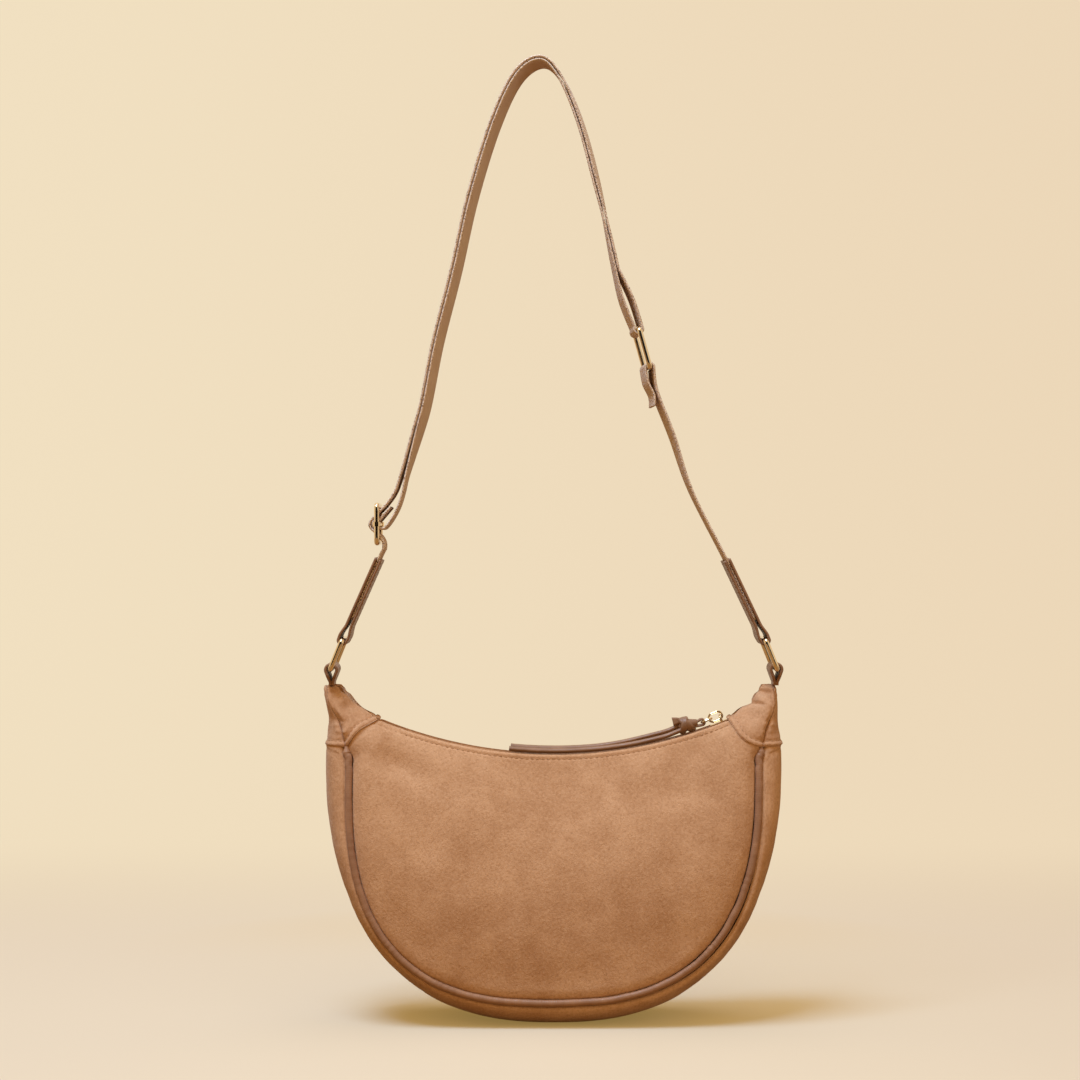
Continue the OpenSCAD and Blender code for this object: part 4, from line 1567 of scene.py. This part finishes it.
@dataclass
class Zip:
    """The zip tapes, their stitched ends, the slider's links and the knotted thong.

    A link's reach is the distance from its middle to its wire's middle line at an end.
    """

    shape: Outline
    finishes: Finishes
    tape_below: float = 2.2
    tape_t: float = 0.8
    slider_l: float = 12.0
    tooth_h: float = 2.6
    post: float = 1.2
    plate: float = 1.2
    bail_r: float = 2.8
    bail_reach: float = 1.45
    bail_slack: float = 0.3
    play: float = 0.2
    oval_reach: float = 4.55
    small_reach: float = 3.55
    links_cross: float = 1.8
    oval: tuple[float, float, float] = (10.6, 7.0, 1.5)
    small: tuple[float, float, float] = (8.6, 6.6, 1.4)
    tape_w: float = 5.2
    tape_y: float = 4.6
    cord_y: float = 5.3
    cord_pitch: float = 0.8
    end_w: float = 5.8
    end_y: float = 4.2
    end_l: float = 14.4
    tack_w: float = 10.8
    thong_l: float = 127.0

    def __post_init__(self) -> None:
        """Works out where the slider and its links are."""
        r = self.shape.mouth_r
        self.teeth_r = r + self.tape_below + self.tape_t / 2
        self.slider_angle = math.asin((self.shape.mouth_l / 2 - self.slider_l / 2) / r)
        self.lift = self.tooth_h / 2 + self.play + self.post + self.plate + self.bail_r
        self.oval_x = self.slider_l / 6 + self.bail_reach + self.bail_slack - self.oval_reach
        self.small_x = self.oval_x - self.oval_reach + self.links_cross - self.small_reach
        self.loop_x = self.small_x - self.small_reach

    def local(self, x: Grid, y: Grid, z: Grid) -> Grid:
        """Places points that are given along the zip at the slider.

        Args:
            x: Along the zip.
            y: Across it.
            z: Out of it, from the teeth.

        Returns:
            The points in the part's frame.
        """
        c, s = math.cos(self.slider_angle), math.sin(self.slider_angle)
        h = z - self.teeth_r
        return np.stack([x * c - h * s, y + 0 * x, self.shape.mouth_z + x * s + h * c], -1)

    def on_arc(self, angle: Grid, radius: Grid | float, y: Grid | float) -> Grid:
        """Places points on the arc of the mouth.

        Args:
            angle: Angles from straight below its centre.
            radius: Distances from its centre, or one distance.
            y: Places across it, or one place.

        Returns:
            The points in the part's frame.
        """
        z = self.shape.mouth_z - radius * np.cos(angle)
        return np.stack([radius * np.sin(angle), y + 0 * angle, z], -1)

    def tapes(self) -> None:
        """Builds the two tapes and the sewn tape ends."""
        r, thick = self.teeth_r, self.tape_t * 0.95
        cloth = self.finishes.get(TAPE)
        reach = math.asin((self.shape.mouth_l / 2 - self.slider_l - 1.2) / self.shape.mouth_r)
        angle = np.linspace(-reach, reach, 200)
        for side in Side:
            word = side.name.lower()
            mid = self.on_arc(angle, r, side.value * self.tape_y)
            made = band(f"{word}_tape_twill", mid, ACROSS, self.tape_w, thick, cloth, 0.4)
            settle(made, word, SlotName.CLOTH, f"{word}_zip_tape")
            for i in range(2):
                line = self.on_arc(angle, r - self.tape_t / 2,
                                   side.value * (self.cord_y + self.cord_pitch * i))
                ridge = tube(f"{word}_tape_cord_{i}", line, 0.22, cloth, sides=8)
                settle(ridge, word, SlotName.CLOTH)
        for hand in Hand:
            mid_angle = hand.value * (self.slider_angle + 1.3 / self.shape.mouth_r)
            angle = mid_angle + np.linspace(-self.end_l / 2, self.end_l / 2, 24) / self.shape.mouth_r
            word = f"{hand.name.lower()}_zip_end"
            for side in Side:
                mid = self.on_arc(angle, r, side.value * self.end_y)
                made = band(f"{word}_{side.name.lower()}_twill", mid, ACROSS, self.end_w, thick, cloth, 0.4)
                settle(made, "bag", SlotName.CLOTH, *([word] if side is Side.FRONT else []))
            sewn_at = np.full(12, angle[-3 if hand is Hand.RIGHT else 2])
            place = self.on_arc(sewn_at, r - 0.5, np.linspace(-self.tack_w / 2, self.tack_w / 2, 12))
            tack = tube(f"{hand.name.lower()}_bar_tack", place, 0.5, self.finishes.get(SEWING), sides=10)
            settle(tack, "bag", SlotName.CLOTH)

    def _link(self, node: str, x: float, sizes: Triple, on_edge: bool, body: str) -> None:
        """Builds one round-ended link of the pull.

        Args:
            node: The node that it stands for.
            x: Its middle along the zip.
            sizes: Its outer length and width, and its wire's diameter.
            on_edge: Whether it stands on edge.
            body: The body that carries it.
        """
        length, width, wire = sizes
        r = (width - wire) / 2
        half = (length - width) / 2
        turn = np.linspace(-math.pi / 2, math.pi / 2, 22)
        straight = np.linspace(-half, half, 10)[1:-1]
        lx = np.concatenate([half + r * np.cos(turn), straight[::-1], -half - r * np.cos(turn), straight])
        ly = np.concatenate([r * np.sin(turn), np.full(8, r), -r * np.sin(turn), np.full(8, -r)])
        path = self.local(x + lx, 0 * ly, self.lift + ly) if on_edge else self.local(x + lx, ly, self.lift)
        made = tube(f"{node}_wire", path, wire / 2, self.finishes.get(GOLD), True, 18)
        settle(made, body, SlotName.GOLD, node)

    def _thong(self, name: str, path: Grid, across: Grid, width: Grid | float, thick: float,
               *nodes: str) -> None:
        """Builds one strand of the thong.

        Args:
            name: Name of the piece.
            path: Points of its middle line.
            across: Direction of its width, or one for each point.
            width: Its width, or one for each point.
            thick: Its thickness.
            nodes: Nodes that it stands for.
        """
        made = band(name, path, across, width, thick, self.finishes.get(THONG_LEATHER), 0.46)
        settle(made, "pull", SlotName.LEATHER, *nodes)

    def pull(self) -> None:
        """Builds the links and the knotted thong."""
        self._link("oval_link", self.oval_x, self.oval, True, "link")
        self._link("small_link", self.small_x, self.small, False, "pull")
        turn = 1 / self.shape.mouth_r
        knot = self.slider_angle + (self.loop_x - 10.2) * turn
        low = self.shape.mouth_r - 0.4
        self._strands(knot, turn, low)
        self._knot(knot, turn, low - 5.6)
        a = np.linspace(-math.pi * 0.5, math.pi * 0.5, 22)
        loop_r, open_l = 1.95, 5.5
        bend = self.local(self.loop_x + loop_r * np.cos(a), 0 * a, self.lift + loop_r * np.sin(a))
        q = np.linspace(0, 1, 16)
        legs = [self.local(self.loop_x - open_l * q, 0 * q, self.lift + s * (loop_r - q)) for s in (-1, 1)]
        path = np.concatenate([legs[0][:0:-1], bend, legs[1][1:]])
        self._thong("thong_neck", path, ACROSS, 3.8, 1.7)

    def _strands(self, knot: float, turn: float, low: float) -> None:
        """Builds the thong's two long strands.

        Args:
            knot: The knot's angle on the arc of the mouth.
            turn: Angle of a millimetre along the arc.
            low: Radius of the arc that they lie on.
        """
        end = self.slider_angle + (self.loop_x - self.thong_l - 3.5) * turn
        t = np.linspace(0, 1, 120)
        part = smooth_step(t, 0.45, 0.95)
        for i, (rise, side_y, lead) in enumerate(((1.5, -1.5, 0.0), (2.9, 1.5, 0.9))):
            a = mix(end + lead * turn, knot - 3.0 * turn, t)
            lift = rise + 0.2 * np.sin(t * 9 + i) * part + part * (1.5 * i)
            lift = mix(lift, 4.2 + 1.3 * (i * 2 - 1), smooth_step(t, 0.88, 1.0))
            mid = self.on_arc(a, low - lift, side_y + 0.4 * np.sin(t * 5 + 2 * i))
            tilt = 0.10 * np.sin(t * 4 + i)
            across = np.stack([0 * t, np.cos(tilt), np.sin(tilt)], -1)
            width = mix(5.6, 4.4, smooth_step(t, 0.8, 1.0))
            self._thong(f"thong_strand_{i}", mid, across, width, 3.0, *(["pull_thong"] if i == 0 else []))

    def _knot(self, knot: float, turn: float, centre_r: float) -> None:
        """Builds the thong's knot: its core, the wraps and the ears.

        Args:
            knot: Its angle on the arc of the mouth.
            turn: Angle of a millimetre along the arc.
            centre_r: Radius of the arc through its middle.
        """
        def near_knot(x: Grid, y: Grid, z: Grid) -> Grid:
            """Places points round the knot's middle, x along the arc and z up."""
            return self.on_arc(knot + x * turn, centre_r - z, y)

        q = np.linspace(0, 1, 60)
        ahead = np.array([math.cos(knot), 0.0, math.sin(knot)])
        wraps = ((np.pi * 2.05, -2.4, 4.2, 4.5, 5.4, 0.4, 0.2), (np.pi * 1.5, 1.9, 4.6, 4.3, 4.4, 2.6, -1.8))
        for i, (span, slope, ry, rz, width, phase, at_x) in enumerate(wraps):
            a = phase + q * span
            path = near_knot(at_x + slope * np.cos(a), ry * np.sin(a), rz * np.cos(a) - 0.4)
            self._thong(f"knot_wrap_{i}", path, ahead, width, 2.2)
        q = np.linspace(0, 1, 34)
        body = near_knot(mix(-5.6, 7.4, q), 0.3 * np.sin(3 * q), mix(-0.3, -1.3, q))
        thick = np.interp(q, [0, 0.08, 0.3, 0.5, 0.75, 1.0], [1.6, 3.2, 4.5, 4.4, 3.3, 2.3])
        core = tube("knot_core", body, thick, self.finishes.get(THONG_LEATHER), sides=22, squash=0.92)
        settle(core, "pull", SlotName.LEATHER)
        q = np.linspace(0, 1, 24)
        upward = np.array([-math.sin(knot), 0.25, math.cos(knot)])
        for i, (rise, far_y) in enumerate(((2.5, -1.4), (1.0, 1.6))):
            path = near_knot(-1.8 - 6.6 * q, far_y * (0.5 + 0.5 * q), rise + 1.5 * q + 0.4 * np.sin(3 * q))
            self._thong(f"knot_ear_{i}", path, upward, mix(3.6, 5.8 - 1.2 * i, q ** 1.3), 2.0)

    def build(self, frame: dict) -> None:
        """Builds the whole zip.
        """
        self.tapes()
        self.pull()
        gild(frame, self.finishes.get(GOLD), "front_zip_teeth", "back_zip_teeth", "zip_slider")


# ---------------------------------------------------------------- the strap


@dataclass
class Strap:
    """The webbing, chapes, tabs, rings and buckle."""

    shape: Outline
    finishes: Finishes
    web_w: float = 29.0
    web_t: float = 1.5
    web_gap: float = 0.6
    wire: float = 3.4
    bar_gap: float = 0.4
    buckle_room: float = 3.2
    strap_h: float = 403.0
    chape_l: float = 58.0
    chape_in_share: float = 0.25
    leather_t: float = 1.6
    tab_x: float = 146.0
    tab_w: float = 24.0
    tab_root_w: float = 15.0
    ring_above: float = 22.5
    ring_l: float = 24.0
    ring_lean: float = 22.0
    oblong_l: float = 29.5
    oblong_lean: float = 15.6
    oblong_yaw: float = 0.05
    buckle_l: float = 28.0

    def __post_init__(self) -> None:
        """Works out the places of the rings."""
        self.ring_z = self.shape.fold_z + self.ring_above
        self.ring_reach = reach = self.ring_l - self.wire
        lean = math.radians(self.ring_lean)
        self.ring_half = (self.web_w + 1) / 2 + self.wire / 2
        self.right_top = np.array([self.tab_x - reach * math.sin(lean), self.ring_z + reach * math.cos(lean)])
        self.left_top = self.right_top * [-1, 1]
        self.buckle = self.placed(-0.792, 0.2355)
        self.buckle_h = (self.buckle_l - self.wire) / 2
        middle = self.placed(0.400, 0.521)
        way = math.radians(self.oblong_lean)
        self.oblong_way = np.array([math.sin(way), -math.cos(way)])
        self.oblong_reach = self.oblong_l - self.wire
        self.oblong_top = middle - self.oblong_reach / 2 * self.oblong_way
        self.oblong_foot = middle + self.oblong_reach / 2 * self.oblong_way
        self.wrap_r = self.wire / 2 + self.bar_gap + self.web_t / 2
        self.layer = self.web_t + self.web_gap
        self.past = self.wire / 2 + self.buckle_room + self.web_t / 2
        self.left_way = unit(self.buckle + [self.past - self.web_t, -1.25 * self.buckle_h] - self.left_top)
        self.right_way = unit(self.placed(0.70, 0.236) - self.right_top)

    def placed(self, across: float, up: float) -> Grid:
        """Places a point by its shares of the ring span and of the strap's height."""
        return np.array([self.tab_x * across, self.ring_z + self.strap_h * up])

    @staticmethod
    def smooth(points: Sequence[Grid], step: int = 10) -> Grid:
        """Runs a smooth curve through points.

        Args:
            points: The points.
            step: Points for each stretch.

        Returns:
            The curve's points.
        """
        pts = [np.asarray(p, float) for p in points]
        out = []
        for i in range(len(pts) - 1):
            p, q, r, s = pts[max(0, i - 1)], pts[i], pts[i + 1], pts[min(len(pts) - 1, i + 2)]
            square, cube = 2 * p - 5 * q + 4 * r - s, 3 * q - p - 3 * r + s
            for k in range(step):
                t = k / step
                out.append(0.5 * (2 * q + (r - p) * t + square * t * t + cube * t ** 3))
        return np.array(out + [pts[-1]])

    @staticmethod
    def arc(centre: Grid, r: float, a0: float, a1: float, n: int = 24) -> Grid:
        """Gives points of an arc between two angles in degrees."""
        a = np.radians(np.linspace(a0, a1, n + 1))
        return centre + r * np.stack([np.cos(a), np.sin(a)], -1)

    @staticmethod
    def beside(points: Grid, d: float) -> Grid:
        """Gives points beside a curve.

        Args:
            points: The curve's points, as x and z.
            d: Their distance from it, to its left.

        Returns:
            The points.
        """
        ahead = np.concatenate([points[1:], points[-1:]])
        behind = np.concatenate([points[:1], points[:-1]])
        way = unit(ahead - behind)
        return points + d * np.stack([-way[:, 1], way[:, 0]], -1)

    def long_route(self) -> Grid:
        """Gives the long webbing's middle line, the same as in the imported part.

        Returns:
            The line's points, from the left chape to the tail behind the buckle.
        """
        left = [(-0.69, 0.318), (-0.592, 0.413), (-0.525, 0.531), (-0.442, 0.65), (-0.368, 0.769),
                (-0.268, 0.887), (-0.165, 0.966)]
        top = [(-0.057, 0.9925), (0.032, 0.967)]
        right = [(0.126, 0.887), (0.211, 0.769), (0.282, 0.65)]
        c, h, t, past = self.buckle, self.buckle_h, self.web_t, self.past
        outer_x = self.wrap_r + self.layer
        route = self.smooth([self.placed(*p) for p in left + top + right])
        out, back = self.beside(route, self.layer / 2), self.beside(route, -self.layer / 2)
        start = self.left_top + self.chape_l * self.chape_in_share * self.left_way
        up = self.smooth([start, self.left_top + self.chape_l * self.left_way, c + [past - t, -h * 1.25],
                          c + [past - 2 * t, -h * 0.72], c + [-outer_x, 0], c + [past - t / 2, h * 0.95],
                          c + [11.2, 20.6], c + [15.4, 32.0], out[10]])
        ring = self.arc(self.oblong_top, self.wrap_r, 25, -205)
        down = self.smooth([out[-1], mix(out[-1], ring[0], 0.5) + [t, 0], ring[0]])
        again = self.smooth([ring[-1], mix(back[-1], ring[-1], 0.5) - [t, 0], back[-1]])
        bar = self.arc(c, self.wrap_r, -65, -300)
        last = self.smooth([back[10], c + [21.8, 42.0], c + [18.6, 30.5], c + [16.7, 21.3], c + [13.6, 11.4],
                            c + [9.0, 2.8], c + [4.6, -2.6], bar[0]])
        tail = self.smooth([bar[-1], c + [4.4, 6.0], c + [8.8, 11.2]])
        return np.concatenate([up, out[11:], down[1:], ring[1:], again[1:], back[-2:9:-1], last[1:], bar[1:],
                               tail[1:]])

    def short_route(self) -> Grid:
        """Gives the short webbing's middle line.

        Returns:
            The line's points, from the right chape to the sewn fold.
        """
        foot, way, t = self.oblong_foot, self.oblong_way, self.web_t
        ring = self.arc(foot, self.wrap_r, -15, 195)
        side = np.array([-way[1], way[0]])
        chape = self.chape_l * self.right_way
        run = self.smooth([ring[0], foot + 0.8 * 21 * way + side * t / 2, self.placed(0.535, 0.38),
                           self.placed(0.62, 0.29), self.right_top + chape,
                           self.right_top + self.chape_in_share * chape])
        tail = self.smooth([ring[-1], foot + 9 * way - side * (self.layer + t),
                            foot + 18 * way - side * self.layer,
                            foot + 25 * way - side * 1.7 * self.layer])
        return np.concatenate([run[::-1], ring[1:], tail[1:]])

    def _web(self, name: str, route: Grid, lean: Grid, end: Grid, body: str, node: str) -> None:
        """Builds one run of webbing.

        Args:
            name: Name of the piece.
            route: Its middle line as x and z.
            lean: How far its far edge moves to +X for each millimetre of width.
            end: Where the chape that holds its end begins; it is narrower in there.
            body: The body that carries it.
            node: The node that it stands for.
        """
        steps = np.linalg.norm(np.diff(route, axis=0), axis=-1)
        keep = np.concatenate([[True], steps > 1e-4])
        route, lean = route[keep], lean[keep]
        path = upright(route)
        across = np.stack([lean, 1 + 0 * lean, 0 * lean], -1)
        inside = 1 - smooth_step(np.linalg.norm(route - end, axis=-1), self.chape_l - 2.0, self.chape_l - 0.8)
        width = (self.web_w - 4.0 * inside) * np.sqrt(1 + lean ** 2)
        made = band(name, path, across, width, self.web_t, self.finishes.get(WEB), 0.45)
        settle(made, body, SlotName.WEBBING, node)

    def webbing(self) -> None:
        """Builds both webbings."""
        route = self.long_route()
        x, z = route[:, 0], route[:, 1]
        near_oblong = self.oblong_yaw * (1 - smooth_step(z, 460, 520))
        lean = np.where(x < -8, 0.13 * smooth_step(z, 345, 400),
                        0.13 * smooth_step(z, 500, 560) - near_oblong)
        self._web("long_webbing_weave", route, lean, self.left_top, "strap", "long_webbing")
        route = self.short_route()
        lean = -0.07 * smooth_step(route[:, 1], 330, 395)
        self._web("short_webbing_weave", route, lean, self.right_top, "lower_strap", "short_webbing")

    def _ring_path(self, reach: float, corner: float = 3.0) -> Grid:
        """Gives a wire ring's middle line in its own plane, its lower bar at zero height.

        Args:
            reach: Distance between its end bars.
            corner: Radius of its corners.

        Returns:
            The line's points.
        """
        half = self.ring_half
        turn = np.linspace(0, math.pi / 2, 10)
        pts = []
        for cy, cz, a0 in ((half - corner, reach - corner, 0), (-half + corner, reach - corner, 1),
                           (-half + corner, corner, 2), (half - corner, corner, 3)):
            a = a0 * math.pi / 2 + turn
            pts.append(np.stack([cy + corner * np.cos(a), cz + corner * np.sin(a)], -1))
        out = []
        for i, p in enumerate(pts):
            out.append(p)
            nxt = pts[(i + 1) % 4][0]
            out.append(np.array([mix(p[-1], nxt, k / 8) for k in range(1, 8)]))
        return np.concatenate(out)

    def _ring(self, node: str, body: str, foot: Grid, lean: float, reach: float, yaw: float = 0.0) -> None:
        """Builds one wire ring.

        Args:
            node: The node that it stands for.
            body: The body that carries it.
            foot: Place of its lower bar as x and z.
            lean: Angle of its top towards +X, in degrees.
            reach: Distance between its end bars.
            yaw: How far its far side moves to +X for each millimetre.
        """
        flat = self._ring_path(reach)
        a = math.radians(lean)
        y, h = flat[:, 0], flat[:, 1]
        path = np.stack([foot[0] + h * math.sin(a) + yaw * y, y, foot[1] + h * math.cos(a)], -1)
        made = tube(f"{node}_wire", path, self.wire / 2, self.finishes.get(GOLD), True, 24)
        settle(made, body, SlotName.GOLD, node)

    def rings(self, frame: dict) -> None:
        """Builds the rings and the buckle's frame, and finishes its bar.
        """
        for hand in Hand:
            foot, word = np.array([hand.value * self.tab_x, self.ring_z]), f"{hand.name.lower()}_ring"
            self._ring(word, word, foot, -hand.value * self.ring_lean, self.ring_reach)
        self._ring("oblong_ring", "oblong_ring", self.oblong_foot, -self.oblong_lean, self.oblong_reach,
                   -self.oblong_yaw)
        self._ring("buckle_frame", "buckle", self.buckle - [0, self.buckle_h], 0, 2 * self.buckle_h)
        gild(frame, self.finishes.get(GOLD), "buckle_bar")

    def _sewn_rows(self, name: str, path: Grid, out: Grid, half: float, body: str) -> None:
        """Sews two rows along a leather strap.

        Args:
            name: Name of the pieces.
            path: The surface's middle line.
            out: Its outward direction.
            half: Distance of each row from the middle.
            body: The body that carries them.
        """
        for i, y in enumerate((-half, half)):
            line = path + [0, y, 0]
            sewn = stitches(f"{name}_stitches_{i}", line, out, self.finishes.get(STRAP_SEWING), 2.8, 1.0,
                            0.24)
            settle(sewn, body, SlotName.LEATHER)

    def chape(self, hand: Hand) -> None:
        """Builds a leather chape: one strip folded round the ring and sewn over the webbing.

        Args:
            hand: Which end of the strap.
        """
        at, way = (self.left_top, self.left_way) if hand is Hand.LEFT else (self.right_top, self.right_way)
        body = "strap" if hand is Hand.LEFT else "lower_strap"
        word = f"{hand.name.lower()}_chape"
        side = np.array([way[1], -way[0]])
        r = self.wire / 2 + self.bar_gap + self.leather_t / 2
        half = self.web_t / 2 + 0.1 + self.leather_t / 2
        a = np.radians(np.linspace(200, 340, 22))
        bend = at + r * (np.cos(a)[:, None] * side + np.sin(a)[:, None] * way)
        t = np.linspace(0, 1, 40)[1:]
        run = mix(1.2, self.chape_l, t)
        wide = mix(r * 1.04, half, smooth_step(run, 2.0, 11.0))
        right = at + run[:, None] * way + wide[:, None] * side
        left = at + run[:, None] * way - wide[:, None] * side
        path = upright(np.concatenate([left[::-1], bend, right]))
        made = band(f"{word}_leather", path, ACROSS, self.web_w + 0.6, self.leather_t,
                    self.finishes.get(STRAP_LEATHER), 0.4)
        settle(made, body, SlotName.LEATHER, word)
        for s, line in ((1, right), (-1, left)):
            sel = run > 12
            top = upright(line[sel] + s * side * (self.leather_t / 2 - 0.16))
            out = np.tile([s * side[0], 0.0, s * side[1]], (len(top), 1))
            self._sewn_rows(f"{word}_{'outer' if s > 0 else 'inner'}", top, out, self.web_w / 2 - 3.0, body)

    def tab(self, hand: Hand) -> None:
        """Builds a tab: a teardrop loop of leather that stands in the top of a horn.

        Args:
            hand: Which horn.
        """
        word = f"{hand.name.lower()}_tab"
        thick = self.leather_t + 0.3
        room, r = (0.35, 3.65) if hand is Hand.LEFT else (0.65, 3.55)
        top = self.ring_z + self.wire / 2 + room + thick / 2
        a = np.radians(np.linspace(-20, 200, 30))
        head = np.stack([r * np.cos(a), top - r + r * np.sin(a)], -1)
        foot = self.shape.fold_z + 11.5
        q = np.linspace(0, 1, 18)[1:]
        near = mix(head[0][0], thick / 2 - 0.1, np.minimum(1, 1.3 * q) ** 0.95)
        right = np.stack([near, mix(head[0][1], foot, q)], -1)
        flat = np.concatenate([right[::-1], head, right * [-1, 1]])
        path = upright(flat + [hand.value * self.tab_x, 0.0])
        width = mix(self.tab_root_w, self.tab_w, smooth_step(flat[:, 1], foot, foot + 7))
        made = band(f"{word}_leather", path, ACROSS, width, thick, self.finishes.get(STRAP_LEATHER), 0.42)
        settle(made, "tabs", SlotName.LEATHER, word)

    def build(self, frame: dict) -> None:
        """Builds the whole strap.
        """
        self.webbing()
        self.rings(frame)
        for hand in Hand:
            self.chape(hand)
            self.tab(hand)


# ---------------------------------------------------------------- the studio


@dataclass
class Studio:
    """The floor, lights and camera."""

    finishes: Finishes
    camera_at: Triple = (-0.009, -1.5, 0.315)
    seen_width: float = 0.7128
    flag_r: float = 2300.0

    def floor(self) -> None:
        """Builds the paper sweep."""
        bend = np.linspace(0, math.pi / 2, 14)[1:]
        back, r, high = 1500, 900, 4500
        y = np.concatenate([np.linspace(-3000, back, 10), back + r * np.sin(bend), [back + r]])
        z = np.concatenate([np.zeros(10), r - r * np.cos(bend), [high]])
        x = np.linspace(-4000, 4000, 9)
        grid = np.stack([np.repeat(x[:, None], len(y), 1), np.tile(y, (9, 1)), np.tile(z, (9, 1))], -1)
        made = add_mesh("paper_sweep", grid.reshape(-1, 3), grid_faces(9, len(y)),
                        self.finishes.get(Backdrop()))

    def _lamp(self, name: str, at: Triple, aim: Triple,
              size: float, power_w: float, colour: Triple) -> None:
        """Hangs one soft box.

        Args:
            name: Name of the lamp.
            at: Where it hangs.
            aim: What it points at.
            size: Length of its side.
            power_w: Its power.
            colour: Its colour.
        """
        data = bpy.data.lights.new(name, "AREA")
        data.size = size
        data.energy = power_w
        data.color = colour
        lamp = bpy.data.objects.new(name, data)
        lamp.location = at
        lamp.rotation_euler = (Vector(aim) - Vector(at)).to_track_quat("-Z", "Y").to_euler()
        bpy.context.scene.collection.objects.link(lamp)

    def lights(self) -> None:
        """Hangs the lamps and sets the world's plain light."""
        self._lamp("key", (-0.62, -0.62, 2.6), (0.0, 0.0, 0.15), 1.0, 47.0, (0.69, 0.99, 1.34))
        self._lamp("fill", (1.5, -1.3, 1.1), (0.0, 0.0, 0.15), 1.3, 2.0, (0.8, 0.97, 1.2))
        self._lamp("top", (0.1, 0.5, 2.0), (0.0, 0.0, 0.2), 1.2, 4.0, (0.8, 0.97, 1.2))
        bpy.context.scene.world = Surroundings().make()

    def flag(self) -> None:
        """Hangs the matt black card behind the camera that only the metal sees."""
        angle, z = np.meshgrid(np.linspace(-0.95, 0.95, 24), np.linspace(120, 2600, 4), indexing="ij")
        points = np.stack([self.flag_r * np.sin(angle), -self.flag_r * np.cos(angle), z], -1)
        made = add_mesh("black_flag", points.reshape(-1, 3), grid_faces(24, 4), self.finishes.get(Card()))
        made.visible_camera = made.visible_diffuse = made.visible_shadow = made.visible_transmission = False

    def camera(self) -> None:
        """Sets the camera at the photograph's place."""
        data = bpy.data.cameras.new("camera")
        data.sensor_width = 36.0
        data.lens = 36.0 * abs(self.camera_at[1]) / self.seen_width
        made = bpy.data.objects.new("camera", data)
        made.location = self.camera_at
        made.rotation_euler = (math.pi / 2, 0.0, 0.0)
        bpy.context.scene.collection.objects.link(made)
        bpy.context.scene.camera = made

    def build(self) -> None:
        """Sets up the whole studio."""
        self.floor()
        self.lights()
        self.flag()
        self.camera()
        bpy.context.scene.view_settings.view_transform = "Standard"


def main() -> None:
    """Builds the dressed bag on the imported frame."""
    logging.basicConfig(level=logging.INFO, format="%(name)s: %(message)s")
    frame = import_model()
    shape = Outline()
    finishes = Finishes()
    Studio(finishes).build()
    Shell(shape, finishes).build()
    Zip(shape, finishes).build(frame)
    Strap(shape, finishes).build(frame)


if __name__ == "__main__":
    main()
